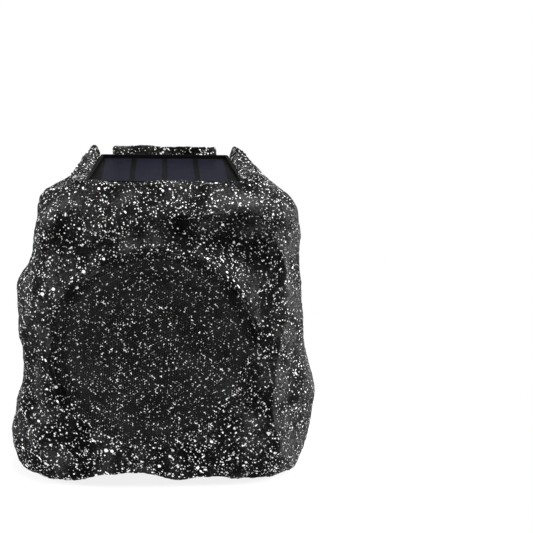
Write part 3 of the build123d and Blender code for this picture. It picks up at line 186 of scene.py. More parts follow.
# Outer stone is what looks out at open air: walls of seats and of the hollow look at
# another wall of the housing, and keep their place. The rest gets its lumps and grain,
# and the mesh is thinned, first inside alone and then all over.
LUMP_LAYERS = [
    ("boulder_lumps", "CLOUDS", 0.03, 0.0034),
    ("chisel_marks", "VORONOI", 0.018, 0.0018),
    ("pitting", "CLOUDS", 0.006, 0.001),
    ("stone_grain", "CLOUDS", 0.0026, 0.0006),
]
CLOUD_DEPTH = 2
SIGHT_START, SIGHT_NEAR, SIGHT_FAR = 0.0022, 0.03, 0.4
BORDER_STEPS = 4
INSIDE_SHARE = 0.05
INSIDE_KEPT, ALL_KEPT = 0.58, 0.74

walls = BVHTree.FromPolygons(
    [v.co for v in rock.data.vertices], [p.vertices for p in rock.data.polygons], epsilon=0.0
)
open_air = np.ones(len(rock.data.vertices))
for v in rock.data.vertices:
    far_wall = walls.ray_cast(v.co + v.normal * SIGHT_START, v.normal, SIGHT_FAR)
    if far_wall[0] is not None and far_wall[3] > SIGHT_NEAR:
        open_air[v.index] = 0.0
edges = np.array([e.vertices for e in rock.data.edges])
for step in range(BORDER_STEPS):
    total = np.zeros(len(open_air))
    count = np.zeros(len(open_air))
    for a, b in ((0, 1), (1, 0)):
        np.add.at(total, edges[:, a], open_air[edges[:, b]])
        np.add.at(count, edges[:, a], 1)
    open_air = np.minimum(open_air, total / count)
outside = rock.vertex_groups.new(name="outside")
inside = rock.vertex_groups.new(name="inside")
for i, share in enumerate(open_air):
    outside.add([i], float(share), "REPLACE")
    inside.add([i], 1.0 if share < INSIDE_SHARE else 0.0, "REPLACE")
for name, kind, size, height in LUMP_LAYERS:
    grain = bpy.data.textures.new(name, kind)
    grain.noise_scale = size
    if kind == "CLOUDS":
        grain.noise_depth = CLOUD_DEPTH
    applied(rock, "DISPLACE", texture=grain, strength=height, mid_level=0.5, texture_coords="LOCAL",
            vertex_group="outside")
applied(rock, "DECIMATE", ratio=INSIDE_KEPT, vertex_group="inside", vertex_group_factor=1.0)
applied(rock, "DECIMATE", ratio=ALL_KEPT)
only(rock)
bpy.ops.object.shade_smooth()
rock.data.materials.clear()

# Stone paint, shared by the housing and the grille: charcoal with darker pores, a pale
# painted sheen in streaks on faces turned to the sides, strong on the right, weak on the
# left and fading towards the back, and seven layers of thrown flecks, round ones and
# needles, whose edges are broken up by a fine noise. The flecks grow towards the foot as
# painted light that brightens the bottom, and shrink under the painted sheen. Hidden
# walls stay bare plastic.
PORE_SCALE, PORE_ROUGHNESS, CLOUDING_SCALE = 760.0, 0.75, 45.0
CHARCOAL_DARK, CHARCOAL_MIDDLE, CHARCOAL_PALE = 0.36, 0.5, 0.66
# Painted sheen on the flanks: the faces it lies on, how far forward, its streaks, its grain and its pale colour.
RIGHT_FACING, LEFT_FACING, LEFT_SHEEN = (0.25, 0.8), (-0.5, -0.95), 0.25
SHEEN_BACK, SHEEN_FRONT = 0.03, -0.03
SHEEN_STREAK_SCALE, SHEEN_STREAK_FROM, SHEEN_STREAK_FULL, SHEEN_STREAK_LEAST = 55.0, 0.42, 0.58, 0.12
SHEEN_GRAIN_SCALE, SHEEN_GRAIN_ROUGHNESS = 700.0, 0.7
SHEEN_FROM, SHEEN_FULL, SHEEN_COVER, SHEEN_TONE = 0.41, 0.66, 0.52, (0.15, 0.15, 0.15)
# Cells in a metre, share of them with a fleck, largest fleck in cells, turn and stretch.
FLECK_LAYERS = [
    (320, 0.10, 0.45, (0.4, 0.2, 0.9), (1.0, 1.3, 1.0)),
    (560, 0.08, 0.42, (0.0, 0.8, 0.0), (3.0, 1.0, 1.0)),
    (620, 0.08, 0.42, (0.0, -0.6, 0.3), (2.6, 1.0, 1.0)),
    (640, 0.13, 0.50, (0.2, 2.2, 0.4), (1.0, 1.2, 1.3)),
    (800, 0.18, 0.51, (1.1, 0.9, 0.2), (1.2, 1.0, 1.0)),
    (1000, 0.18, 0.52, (0.7, 0.3, 1.3), (1.0, 1.2, 1.0)),
    (1400, 0.08, 0.56, (0.3, 1.4, 0.6), (1.3, 1.0, 1.0)),
]
FLECK_WARP, FLECK_WARP_SCALE = 0.001, 420.0
FLECK_EDGE, FLECK_RELIEF = 0.06, 0.35
FLECK_WHITE, FLECK_WHITE_FROM = (0.95, 0.95, 0.94), 0.65
# Painted light at the foot: flecks grow towards it so the bottom reads brighter.
FOOT_LIGHT_GROWTH, FOOT_LIGHT_TOP, FOOT_LIGHT_FOOT = 0.13, 0.07, 0.02
# Flecks shrink under the painted sheen.
SHEEN_FLECK_GROWTH = -0.08
STONE_SHINE, STONE_SMOOTHEST, STONE_ROUGHEST = 0.015, 0.62, 0.95
STONE_BUMP, STONE_BUMP_DEPTH = 0.7, 0.0009
GRAIN_ROUGHNESS, GRAIN_DARK, GRAIN_PALE = 0.6, 0.3, 0.7
GRAIN_GLOSS, GLOSSIEST, GRAIN_BUMP = 0.1, 0.02, 0.4
SEAT_BARE, SEAT_BACK = 0.0757, -0.03


def new_node(tree, kind, inputs=(), **settings):
    """Adds a shader node, sets its options and fills or links its inputs."""
    made = tree.nodes.new("ShaderNode" + kind)
    for key, value in settings.items():
        setattr(made, key, value)
    for key, value in dict(inputs).items():
        if isinstance(value, bpy.types.NodeSocket):
            tree.links.new(value, made.inputs[key])
        else:
            made.inputs[key].default_value = value
    return made


def new_material(name, **sockets):
    """A material with its shader's own sockets set."""
    made = bpy.data.materials.new(name)
    made.use_nodes = True
    shader = made.node_tree.nodes["Principled BSDF"]
    for key, value in sockets.items():
        shader.inputs[key.replace("_", " ")].default_value = value
    return made, made.node_tree, shader


def reckoned(tree, operation, *values):
    """The result of one step of arithmetic."""
    return new_node(tree, "Math", dict(enumerate(values)), operation=operation).outputs[0]


def mapped(tree, value, low, high, start=0.0, end=1.0, **settings):
    """A value carried over from one range to another, and held at the ends."""
    ranges = {"Value": value, "From Min": low, "From Max": high, "To Min": start, "To Max": end}
    return new_node(tree, "MapRange", ranges, **settings).outputs[0]


def noise(tree, place, scale, detail=2.0, roughness=0.5):
    """Noise that is fixed to the piece."""
    look = {"Vector": place, "Scale": scale, "Detail": detail, "Roughness": roughness}
    return new_node(tree, "TexNoise", look).outputs


def ramped(tree, value, first, last, *between):
    """A colour that follows a value through stops of position and colour."""
    made = new_node(tree, "ValToRGB", {"Fac": value})
    for i, (position, colour) in enumerate((first, last)):
        made.color_ramp.elements[i].position = position
        made.color_ramp.elements[i].color = (*colour, 1)
    for position, colour in between:
        made.color_ramp.elements.new(position).color = (*colour, 1)
    return made.outputs["Color"]


def mixed(tree, share, under, over):
    """One colour laid over another."""
    return new_node(tree, "Mix", {0: share, 6: under, 7: over}, data_type="RGBA").outputs[2]


def stone_paint(name, darkest, middle, palest, fleck_share, fleck_tone):
    """Charcoal stone paint with thrown flecks, a painted sheen on the flanks and painted light at the foot."""
    made, tree, shader = new_material(name, Specular_IOR_Level=STONE_SHINE)
    place = new_node(tree, "TexCoord").outputs["Object"]
    pores = noise(tree, place, PORE_SCALE, 3.0, PORE_ROUGHNESS)["Fac"]
    clouding = noise(tree, place, CLOUDING_SCALE)["Fac"]
    mottled = reckoned(tree, "MULTIPLY", reckoned(tree, "ADD", pores, clouding), 0.5)
    charcoal = ramped(tree, mottled, (CHARCOAL_DARK, darkest), (CHARCOAL_PALE, palest), (CHARCOAL_MIDDLE, middle))

    # Painted sheen: a paler colour in streaks on faces turned right, less on faces turned left, fading towards
    # the back.
    normal = new_node(tree, "NewGeometry").outputs["Normal"]
    facing = new_node(tree, "SeparateXYZ", {"Vector": normal}).outputs["X"]
    spot = new_node(tree, "SeparateXYZ", {"Vector": place}).outputs
    right = mapped(tree, facing, *RIGHT_FACING, interpolation_type="SMOOTHSTEP")
    left = mapped(tree, facing, *LEFT_FACING, end=LEFT_SHEEN)
    forward = mapped(tree, spot["Y"], SHEEN_BACK, SHEEN_FRONT)
    sheen_sides = reckoned(tree, "MULTIPLY", reckoned(tree, "MAXIMUM", right, left), forward)
    sheen_streaks = noise(tree, place, SHEEN_STREAK_SCALE, 3.0)["Fac"]
    painted_sheen = reckoned(tree, "MULTIPLY", sheen_sides, mapped(tree, sheen_streaks, SHEEN_STREAK_FROM, SHEEN_STREAK_FULL, SHEEN_STREAK_LEAST))
    sheen_grain = noise(tree, place, SHEEN_GRAIN_SCALE, 3.0, SHEEN_GRAIN_ROUGHNESS)["Fac"]
    sheen_colour = ramped(tree, sheen_grain, (SHEEN_FROM, darkest), (SHEEN_FULL, SHEEN_TONE))
    colour = mixed(tree, reckoned(tree, "MULTIPLY", painted_sheen, SHEEN_COVER), charcoal, sheen_colour)

    wobble = noise(tree, place, FLECK_WARP_SCALE)["Color"]
    centred = new_node(tree, "VectorMath", {0: wobble, 1: (0.5, 0.5, 0.5)}, operation="SUBTRACT").outputs[0]
    shifted = new_node(tree, "VectorMath", {0: centred, "Scale": FLECK_WARP}, operation="SCALE").outputs[0]
    warped = new_node(tree, "VectorMath", {0: place, 1: shifted}, operation="ADD").outputs[0]
    # Painted light: flecks grow towards the foot so the bottom reads brighter.
    low = mapped(tree, spot["Z"], FOOT_LIGHT_TOP, FOOT_LIGHT_FOOT)
    foot_lit_growth = reckoned(tree, "MULTIPLY_ADD", low, FOOT_LIGHT_GROWTH, 1.0)
    height = pores
    for density, share, largest, turn, stretch in FLECK_LAYERS:
        turned = new_node(tree, "Mapping", {"Vector": warped, "Rotation": turn, "Scale": stretch},
                          vector_type="TEXTURE").outputs[0]
        cells = new_node(tree, "TexVoronoi", {"Vector": turned, "Scale": float(density)}).outputs
        chance = new_node(tree, "SeparateColor", {"Color": cells["Color"]}).outputs
        reach = mapped(tree, chance["Red"], 1 - share * fleck_share, 1.0, end=largest)
        edge = reckoned(tree, "SUBTRACT", reckoned(tree, "MULTIPLY", reach, foot_lit_growth), cells["Distance"])
        # Flecks shrink under the painted sheen on the flanks.
        mask = mapped(tree, reckoned(tree, "MULTIPLY_ADD", painted_sheen, SHEEN_FLECK_GROWTH, edge), 0.0, FLECK_EDGE)
        tone = ramped(tree, chance["Green"], (0.0, (fleck_tone,) * 3), (FLECK_WHITE_FROM, FLECK_WHITE))
        colour = mixed(tree, mask, colour, tone)
        height = reckoned(tree, "MULTIPLY_ADD", mask, FLECK_RELIEF, height)
    tree.links.new(colour, shader.inputs["Base Color"])
    gloss = mapped(tree, pores, 0.0, 1.0, STONE_SMOOTHEST, STONE_ROUGHEST)
    tree.links.new(gloss, shader.inputs["Roughness"])
    bump = new_node(tree, "Bump", {"Height": height, "Strength": STONE_BUMP, "Distance": STONE_BUMP_DEPTH})
    tree.links.new(bump.outputs["Normal"], shader.inputs["Normal"])
    return made


def plain_finish(name, colour, roughness, grain_size, grain_depth, spread=0.25, metal=0.0, shine=0.3):
    """A finish with fine grain in its colour, gloss and surface."""
    made, tree, shader = new_material(name, Metallic=metal, Specular_IOR_Level=shine)
    place = new_node(tree, "TexCoord").outputs["Object"]
    grain = noise(tree, place, 1 / grain_size, 3.0, GRAIN_ROUGHNESS)["Fac"]
    darker = [c * (1 - spread) for c in colour]
    paler = [c * (1 + spread) for c in colour]
    tint = ramped(tree, grain, (GRAIN_DARK, darker), (GRAIN_PALE, paler))
    tree.links.new(tint, shader.inputs["Base Color"])
    smoothest = max(GLOSSIEST, roughness - GRAIN_GLOSS)
    roughest = min(1.0, roughness + GRAIN_GLOSS)
    tree.links.new(mapped(tree, grain, 0.0, 1.0, smoothest, roughest), shader.inputs["Roughness"])
    bump = new_node(tree, "Bump", {"Height": grain, "Strength": GRAIN_BUMP, "Distance": grain_depth})
    tree.links.new(bump.outputs["Normal"], shader.inputs["Normal"])
    return made


rock_paint = stone_paint(
    "rock_paint", (0.0004, 0.0004, 0.0004), (0.006, 0.006, 0.0061), (0.045, 0.045, 0.045),
    fleck_share=0.8, fleck_tone=0.5,
)
bare_plastic = plain_finish("bare_plastic", (0.004, 0.004, 0.0042), 0.6, 0.0009, 0.00004, shine=0.05)
rock.data.materials.append(rock_paint)
rock.data.materials.append(bare_plastic)
bare = [any(g.group == inside.index and g.weight > 0.5 for g in v.groups) for v in rock.data.vertices]
for p in rock.data.polygons:
    from_seat = Vector((p.center.x - SEAT_MIDDLE[0], p.center.z - SEAT_MIDDLE[1])).length
    under_grille = from_seat < SEAT_BARE and p.center.y < SEAT_BACK
    p.material_index = 1 if under_grille or all(bare[i] for i in p.vertices) else 0
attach(rock, "housing")
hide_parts("rock_shell")

# Front grille: a crowned sheet of perforated steel with a plain hem that folds back
# into the housing's seat. It is sprayed with the same stone paint as the rock.
GRILLE_MIDDLE = (-0.007, -0.092557, 0.106)
GRILLE_LEAN = 6
GRILLE_RADIUS = 0.076
GRILLE_CROWN = 0.003
GRILLE_SHEET = 0.001
GRILLE_FOLD = 0.004
GRILLE_SMOOTH = radians(35)
HOLE_PITCH = 0.002
HOLE_RIM = 0.00024
HOLE_WELD = 0.00005
HOLE_TURN = radians(94)
HEM_WIDTH = 0.002
HEM_LAP = 0.0004
HEM_PROUD = 0.0001
HEM_SIDES = 128
HEM_STEPS = [(HEM_WIDTH, 0), (0.0005, -0.0001), (0.0001, -0.0005), (0, -GRILLE_FOLD + 0.0012)]


def on_front(piece):
    """Sets a piece that was made flat on the ground up against the leaning front."""
    only(piece)
    piece.rotation_euler = (radians(90 - GRILLE_LEAN), 0, 0)
    piece.location = GRILLE_MIDDLE
    bpy.ops.object.transform_apply(location=True, rotation=True, scale=True)


def on_grille(piece):
    """Bends a flat piece to the grille's crown, and sets it in its place."""
    for v in piece.data.vertices:
        v.co.z += GRILLE_CROWN * max(0.0, 1 - (v.co.x ** 2 + v.co.y ** 2) / GRILLE_RADIUS ** 2)
    on_front(piece)


def facing_up(piece):
    """Turns all faces of an open sheet the same way, upwards."""
    bpy.ops.mesh.select_all(action="SELECT")
    bpy.ops.mesh.normals_make_consistent(inside=False)
    bpy.ops.object.mode_set(mode="OBJECT")
    if piece.data.polygons[0].normal.z < 0:
        piece.data.flip_normals()


bpy.ops.object.select_all(action="DESELECT")
bpy.ops.mesh.primitive_circle_add(vertices=6, radius=HOLE_PITCH / sqrt(3), fill_type="NGON")
mesh_sheet = bpy.context.object
mesh_sheet.name = "grille_mesh"
bpy.ops.object.mode_set(mode="EDIT")
bpy.ops.mesh.select_all(action="SELECT")
bpy.ops.mesh.inset(thickness=HOLE_RIM)
bpy.ops.mesh.delete(type="ONLY_FACE")
bpy.ops.mesh.select_all(action="SELECT")
bpy.ops.mesh.duplicate()
row = HOLE_PITCH * sqrt(3) / 2
bpy.ops.transform.translate(value=(HOLE_PITCH / 2, row, 0))
bpy.ops.mesh.select_all(action="SELECT")
holes_across = int(2 * GRILLE_RADIUS / HOLE_PITCH) + 2
row_pairs = int(GRILLE_RADIUS / row) + 1
bpy.ops.transform.translate(value=(-holes_across * HOLE_PITCH / 2, -row_pairs * row, 0))
bpy.ops.object.mode_set(mode="OBJECT")
applied(mesh_sheet, "ARRAY", count=holes_across, use_relative_offset=False, use_constant_offset=True,
        constant_offset_displace=(HOLE_PITCH, 0, 0))
applied(mesh_sheet, "ARRAY", count=row_pairs, use_relative_offset=False, use_constant_offset=True,
        constant_offset_displace=(0, 2 * row, 0))
only(mesh_sheet)
bpy.ops.object.mode_set(mode="EDIT")
bpy.ops.mesh.select_all(action="SELECT")
bpy.ops.mesh.remove_doubles(threshold=HOLE_WELD)
bpy.ops.transform.rotate(value=HOLE_TURN, orient_axis="Z", center_override=(0, 0, 0))
bpy.ops.mesh.select_all(action="DESELECT")
bpy.ops.object.mode_set(mode="OBJECT")
hem_inner = GRILLE_RADIUS - HEM_WIDTH
for p in mesh_sheet.data.polygons:
    p.select = p.center.length > hem_inner
bpy.ops.object.mode_set(mode="EDIT")
bpy.ops.mesh.select_mode(type="FACE")
bpy.ops.mesh.delete(type="FACE")
facing_up(mesh_sheet)
applied(mesh_sheet, "SOLIDIFY", thickness=GRILLE_SHEET, offset=-1)
on_grille(mesh_sheet)

bpy.ops.object.select_all(action="DESELECT")
bpy.ops.mesh.primitive_circle_add(vertices=HEM_SIDES, radius=hem_inner - HEM_LAP, fill_type="NOTHING",
                                  location=(0, 0, HEM_PROUD))
hem = bpy.context.object
hem.name = "grille_hem"
bpy.ops.object.transform_apply(location=True)
bpy.ops.object.mode_set(mode="EDIT")
for wide, deep in HEM_STEPS:
    bpy.ops.mesh.select_mode(type="EDGE")
    bpy.ops.mesh.extrude_region_move()
    bpy.ops.object.mode_set(mode="OBJECT")
    for v in hem.data.vertices:
        if v.select:
            out = Vector((v.co.x, v.co.y, 0)).normalized() * wide
            v.co += out + Vector((0, 0, deep))
    bpy.ops.object.mode_set(mode="EDIT")
facing_up(hem)
applied(hem, "SOLIDIFY", thickness=GRILLE_SHEET, offset=-1)
on_grille(hem)
grille_paint = stone_paint(
    "grille_paint", (0.008, 0.008, 0.008), (0.0165, 0.0165, 0.0168), (0.036, 0.036, 0.036),
    fleck_share=0.95, fleck_tone=0.93,
)
for piece, paint in ((mesh_sheet, grille_paint), (hem, rock_paint)):
    only(piece)
    bpy.ops.object.shade_smooth_by_angle(angle=GRILLE_SMOOTH)
    piece.data.materials.clear()
    piece.data.materials.append(paint)
    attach(piece, "housing")
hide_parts("front_grille")
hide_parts("front_grille")


# Loudspeaker behind the grille: pressed steel basket, rubber roll, pulp cone, ferrite
# magnet and plated plates. It keeps its moulded shapes, and each part gets its finish.
def finish_nodes(material, *names):
    """Puts a finish on CAD nodes that stay as they are."""
    for name in names:
        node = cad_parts[name]
        node.data.materials.clear()
        node.data.materials.append(material)


black_rubber = plain_finish("black_rubber", (0.006, 0.006, 0.0062), 0.7, 0.0012, 0.00005, shine=0.1)
pulp_paper = plain_finish("pulp_paper", (0.005, 0.005, 0.005), 0.85, 0.0016, 0.0001, 0.4, shine=0.05)
plated_steel = plain_finish("plated_steel", (0.55, 0.55, 0.57), 0.35, 0.002, 0.00002, 0.12, 1.0)
black_steel = plain_finish("black_steel", (0.005, 0.005, 0.0052), 0.45, 0.0015, 0.00004, shine=0.1)
ferrite = plain_finish("ferrite", (0.05, 0.05, 0.052), 0.65, 0.0009, 0.00006)
copper_wire = plain_finish("copper_wire", (0.72, 0.33, 0.14), 0.35, 0.0008, 0.00005, 0.2, 1.0)
black_plastic = plain_finish("black_plastic", (0.02, 0.02, 0.021), 0.55, 0.0009, 0.00004)
finish_nodes(black_rubber, "driver_gasket", "driver_lead", "solar_lead", "battery_lead")
finish_nodes(pulp_paper, "driver_cone", "driver_dust_cap")
finish_nodes(black_steel, "driver_basket", "driver_screws")
finish_nodes(plated_steel, "driver_top_plate", "driver_yoke")
finish_nodes(ferrite, "driver_magnet")
finish_nodes(copper_wire, "driver_voice_coil")
finish_nodes(black_plastic, "driver_terminal")

# Surround and spider: a rubber half-roll in front and a ring of corrugated cloth behind.
# Both are glued to the basket at the rim and to the cone or its coil within. Each is
# turned in wedges, and the wedges are joined into one ring.
FLANGE_LEVEL = -0.013
ROLL_INNER = 0.046
ROLL_RADIUS = 0.0045
ROLL_RUBBER = 0.0008
ROLL_LIP = 0.0035
ROLL_STEP = 15
SPIDER_LEVEL = -0.037
SPIDER_INNER = 0.0132
SPIDER_WAVES_END = 0.0385
SPIDER_OUTER = 0.045
SPIDER_WAVE = 0.0012
SPIDER_WAVES = 3
SPIDER_STEPS = 36
SPIDER_CLOTH = 0.0007
RING_WEDGES = 12
WEDGE_STEPS = 8
RING_SMOOTH = radians(40)


def flexing_ring(name, outline):
    """Turns an outline into a ring, made in wedges that are joined into one."""
    wedge_angle = 2 * pi / RING_WEDGES
    wedges = []
    for k in range(RING_WEDGES):
        c, s = cos(k * wedge_angle), sin(k * wedge_angle)
        loop = bpy.data.meshes.new(name)
        loop.from_pydata([(c * r, s * r, level) for r, level in outline],
                         [(i, (i + 1) % len(outline)) for i in range(len(outline))], [])
        wedge = bpy.data.objects.new(name, loop)
        bpy.context.scene.collection.objects.link(wedge)
        only(wedge)
        bpy.ops.object.mode_set(mode="EDIT")
        bpy.ops.mesh.select_all(action="SELECT")
        bpy.ops.mesh.spin(steps=WEDGE_STEPS, angle=wedge_angle, center=(0, 0, 0), axis=(0, 0, 1))
        bpy.ops.object.mode_set(mode="OBJECT")
        outward = sum((v.co for v in wedge.data.vertices), Vector())
        outward.z = 0
        outward = Matrix.Rotation(radians(90 - GRILLE_LEAN), 3, "X") @ outward.normalized()
        on_front(wedge)
        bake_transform(wedge)
        wedges.append(wedge)
    ring = wedges[0]
    only(ring)
    for wedge in wedges:
        wedge.select_set(True)
    bpy.ops.object.join()
    bpy.ops.object.mode_set(mode="EDIT")
    bpy.ops.mesh.select_all(action="SELECT")
    bpy.ops.mesh.remove_doubles(threshold=WELD)
    bpy.ops.mesh.normals_make_consistent(inside=False)
    bpy.ops.object.mode_set(mode="OBJECT")
    bpy.ops.object.shade_smooth_by_angle(angle=RING_SMOOTH)
    ring.name = name
    return ring


turns = [radians(a) for a in range(0, 181, ROLL_STEP)]
roll_foot = FLANGE_LEVEL + ROLL_RUBBER
roll_middle = ROLL_INNER + ROLL_RADIUS
roll_outer = ROLL_INNER + 2 * ROLL_RADIUS
under_radius = ROLL_RADIUS - ROLL_RUBBER
roll_outline = [(ROLL_INNER - ROLL_LIP, FLANGE_LEVEL), (ROLL_INNER - ROLL_LIP, roll_foot)]
roll_outline += [(roll_middle - ROLL_RADIUS * cos(a), roll_foot + ROLL_RADIUS * sin(a)) for a in turns]
roll_outline += [(roll_outer + ROLL_LIP, roll_foot), (roll_outer + ROLL_LIP, FLANGE_LEVEL)]
roll_outline += [(roll_middle + under_radius * cos(a), FLANGE_LEVEL + ROLL_RADIUS * sin(a)) for a in turns]
surround = flexing_ring("cone_surround", roll_outline)
surround.data.materials.append(black_rubber)
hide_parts("driver_surround")

waves_width = SPIDER_WAVES_END - SPIDER_INNER
spider_wave = 2 * pi * SPIDER_WAVES
cloth = [(SPIDER_INNER + waves_width * i / SPIDER_STEPS,
          SPIDER_LEVEL + SPIDER_WAVE * sin(spider_wave * i / SPIDER_STEPS)) for i in range(SPIDER_STEPS + 1)]
cloth.append((SPIDER_OUTER, SPIDER_LEVEL))
spider_outline = cloth + [(r, level + SPIDER_CLOTH) for r, level in reversed(cloth)]
spider = flexing_ring("coil_spider", spider_outline)
spider_cloth = plain_finish("spider_cloth", (0.5, 0.3, 0.09), 0.9, 0.0007, 0.00012, 0.35)
spider.data.materials.append(spider_cloth)
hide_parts("driver_spider")

# Solar panel: four dark blue cells on a black sheet under a clear cover, in a moulded
# black tray that is screwed down from inside the housing.
CELL_LINE_PITCH, CELL_LINE_EDGE = 0.0052, 0.07
CELL_CLOUD_SCALE = 70.0
CELL_DARK, CELL_PALE, CELL_LINE = (0.0055, 0.0062, 0.0105), (0.009, 0.0099, 0.016), (0.012, 0.0128, 0.0165, 1)
COVER_SHOWN, COVER_DUST_SCALE = 0.05, 300.0
COVER_SMOOTHEST, COVER_ROUGHEST = 0.16, 0.34
tray_plastic = plain_finish("tray_plastic", (0.0045, 0.0045, 0.0047), 0.6, 0.0011, 0.00006, shine=0.01)
back_sheet = plain_finish("back_sheet", (0.0042, 0.0043, 0.0046), 0.4, 0.004, 0.00001, shine=0.002)
finish_nodes(tray_plastic, "solar_tray")
finish_nodes(back_sheet, "solar_backsheet")
finish_nodes(plated_steel, "solar_screws")
cell_blue, tree, shader = new_material("cell_blue", Roughness=0.4, Specular_IOR_Level=0.002)
place = new_node(tree, "TexCoord").outputs["Object"]
along = new_node(tree, "SeparateXYZ", {"Vector": place}).outputs["Y"]
saw = reckoned(tree, "PINGPONG", reckoned(tree, "MULTIPLY", along, 1 / CELL_LINE_PITCH), 0.5)
finger = mapped(tree, saw, 0.0, CELL_LINE_EDGE, 1.0, 0.0)
cloud = noise(tree, place, CELL_CLOUD_SCALE)["Fac"]
silicon = ramped(tree, cloud, (0.0, CELL_DARK), (1.0, CELL_PALE))
tree.links.new(mixed(tree, finger, silicon, CELL_LINE), shader.inputs["Base Color"])
finish_nodes(cell_blue, "solar_cells")
clear_cover, tree, shader = new_material("clear_cover", Alpha=COVER_SHOWN, Specular_IOR_Level=0.0)
shader.inputs["Base Color"].default_value = (0, 0, 0, 1)
dust = noise(tree, new_node(tree, "TexCoord").outputs["Object"], COVER_DUST_SCALE)["Fac"]
gloss = mapped(tree, dust, 0.0, 1.0, COVER_SMOOTHEST, COVER_ROUGHEST)
tree.links.new(gloss, shader.inputs["Roughness"])
finish_nodes(clear_cover, "solar_cover")

# Rear controls: a black moulded panel screwed over a foam gasket, with rubber buttons,
# a milky status light and a rubber flap on a steel pin over the charging socket.
panel_plastic = plain_finish("panel_plastic", (0.02, 0.02, 0.021), 0.58, 0.0008, 0.00007)
button_rubber = plain_finish("button_rubber", (0.045, 0.045, 0.047), 0.72, 0.0007, 0.00005)
flap_rubber = plain_finish("flap_rubber", (0.028, 0.028, 0.03), 0.75, 0.0007, 0.00005)
milky_light = plain_finish("milky_light", (0.7, 0.74, 0.78), 0.3, 0.003, 0.00001, 0.08)
finish_nodes(panel_plastic, "control_panel")
finish_nodes(black_rubber, "control_gasket")
finish_nodes(plated_steel, "control_screws", "charge_socket", "port_cover_pin")
finish_nodes(button_rubber, "power_button", "pairing_button", "volume_down_button", "volume_up_button")
finish_nodes(flap_rubber, "port_cover")
finish_nodes(milky_light, "status_light", "status_led")

# Electronics on the panel's posts: a lacquered board with its switches, radio module,
# heat sink, capacitors and plug connectors.
green_lacquer = plain_finish("green_lacquer", (0.012, 0.085, 0.03), 0.3, 0.003, 0.00002)
module_can = plain_finish("module_can", (0.6, 0.6, 0.61), 0.3, 0.004, 0.00001, 0.08, 1.0)
bare_aluminium = plain_finish("bare_aluminium", (0.66, 0.66, 0.68), 0.4, 0.001, 0.00003, 0.12, 1.0)
ivory_plastic = plain_finish("ivory_plastic", (0.68, 0.64, 0.52), 0.5, 0.002, 0.00002, 0.08)
finish_nodes(green_lacquer, "main_board")
finish_nodes(black_plastic, "button_switches", "board_capacitors")
finish_nodes(module_can, "wireless_module")
finish_nodes(bare_aluminium, "heat_sink")
finish_nodes(ivory_plastic, "board_connectors")
finish_nodes(plated_steel, "board_screws")

# Battery and base: two wrapped cells in a tray under a steel strap, on the moulded
# base plate that is screwed up against a rubber seal and stands on rubber feet.
cell_wrap = plain_finish("cell_wrap", (0.03, 0.1, 0.36), 0.3, 0.004, 0.00001, 0.12)
base_plastic = plain_finish("base_plastic", (0.024, 0.024, 0.025), 0.6, 0.0012, 0.00008)
finish_nodes(cell_wrap, "battery_cells")
finish_nodes(black_plastic, "battery_tray")
finish_nodes(plated_steel, "battery_strap", "battery_screws", "base_screws")
finish_nodes(base_plastic, "base_plate")
finish_nodes(black_rubber, "base_seal", "rubber_feet")

# White sweep under the speaker: it takes the soft shadow close by and fades into the
# plain white of the studio further out.
SWEEP_SIZE, SWEEP_LEVEL = 2.4, -0.0005
SWEEP_TONE, SWEEP_GLOW = 0.16, 0.82
SHADOW_NEAR, SHADOW_FAR = 0.13, 0.3
STUDIO_FILL = 0.18
bpy.ops.object.select_all(action="DESELECT")
bpy.ops.mesh.primitive_plane_add(size=SWEEP_SIZE, location=(0, 0, SWEEP_LEVEL))
ground = bpy.context.object
ground.name = "ground"
sweep, tree, shader = new_material("white_sweep", Roughness=0.9, Specular_IOR_Level=0.0,
                                   Emission_Strength=SWEEP_GLOW)
shader.inputs["Base Color"].default_value = (SWEEP_TONE, SWEEP_TONE, SWEEP_TONE, 1)
shader.inputs["Emission Color"].default_value = (1, 1, 1, 1)
place = new_node(tree, "TexCoord").outputs["Object"]
distance = new_node(tree, "VectorMath", {0: place}, operation="LENGTH").outputs["Value"]
tree.links.new(mapped(tree, distance, SHADOW_NEAR, SHADOW_FAR, 1.0, 0.0), shader.inputs["Alpha"])
ground.data.materials.append(sweep)

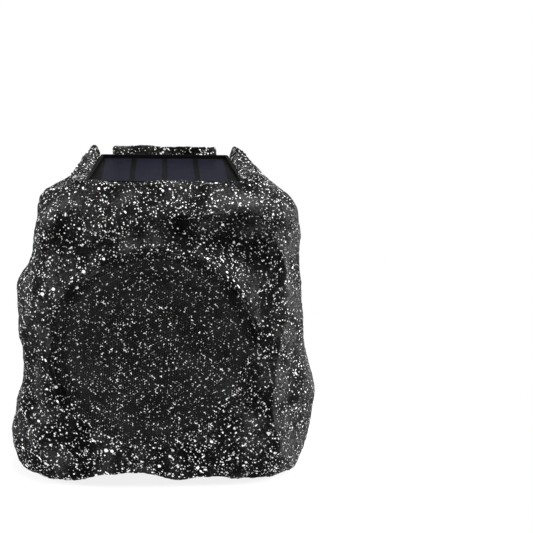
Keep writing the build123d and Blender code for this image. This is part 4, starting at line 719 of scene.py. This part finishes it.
world = bpy.data.worlds.new("studio")
bpy.context.scene.world = world
world.use_nodes = True
tree = world.node_tree
path = new_node(tree, "LightPath").outputs
seen = reckoned(tree, "MAXIMUM", path["Is Camera Ray"], path["Is Glossy Ray"])
seen = reckoned(tree, "MAXIMUM", seen, path["Is Transmission Ray"])
backdrop = tree.nodes["Background"]
backdrop.inputs["Color"].default_value = (1, 1, 1, 1)
tree.links.new(mapped(tree, seen, 0.0, 1.0, STUDIO_FILL, 1.0), backdrop.inputs["Strength"])

# Studio lamps: a wide softbox overhead, strips at both sides, and a weak front fill.
# Each has its place, the point it is aimed at, its size in metres and its watts.
LAMPS = [
    ("overhead", (0.12, -0.1, 1.0), (0, 0, 0.15), 0.6, 15.5),
    ("right_strip", (0.9, 0.05, 0.35), (0, 0, 0.14), 0.4, 15.5),
    ("left_strip", (-0.9, 0.1, 0.3), (0, 0, 0.1), 0.4, 12.0),
    ("front_fill", (-0.15, -1.5, 0.32), (0, 0, 0.1), 0.8, 16.0),
]
for name, spot, target, size, power in LAMPS:
    lamp = bpy.data.lights.new(name, "AREA")
    lamp.size = size
    lamp.energy = power
    holder = bpy.data.objects.new(name, lamp)
    bpy.context.scene.collection.objects.link(holder)
    holder.location = spot
    holder.rotation_euler = (Vector(target) - Vector(spot)).to_track_quat("-Z", "Y").to_euler()

# Camera: sixteen degrees above the rock's middle, straight in front of it. It is turned
# so that the rock stands at the lower left of the square picture.
PICTURE = 533
FOCAL_PIXELS = 1351
ROCK_MIDDLE = Vector((0, 0, 0.12))
ROCK_PIXEL = (164.6, 299.5)
CAMERA_RISE = radians(16)
CAMERA_AWAY = 1.1
optics = bpy.data.cameras.new("camera")
optics.sensor_width = 36
optics.lens = FOCAL_PIXELS / PICTURE * optics.sensor_width
camera = bpy.data.objects.new("camera", optics)
bpy.context.scene.collection.objects.link(camera)
away = Vector((0, -cos(CAMERA_RISE), sin(CAMERA_RISE)))
camera.location = ROCK_MIDDLE + away * CAMERA_AWAY
camera.rotation_mode = "QUATERNION"
straight = (-away).to_track_quat("-Z", "Y")
pixel_ray = Vector((ROCK_PIXEL[0] - PICTURE / 2, PICTURE / 2 - ROCK_PIXEL[1], -FOCAL_PIXELS)).normalized()
camera.rotation_quaternion = straight @ pixel_ray.rotation_difference(Vector((0, 0, -1)))
bpy.context.scene.camera = camera

bpy.context.scene.view_settings.view_transform = "Standard"
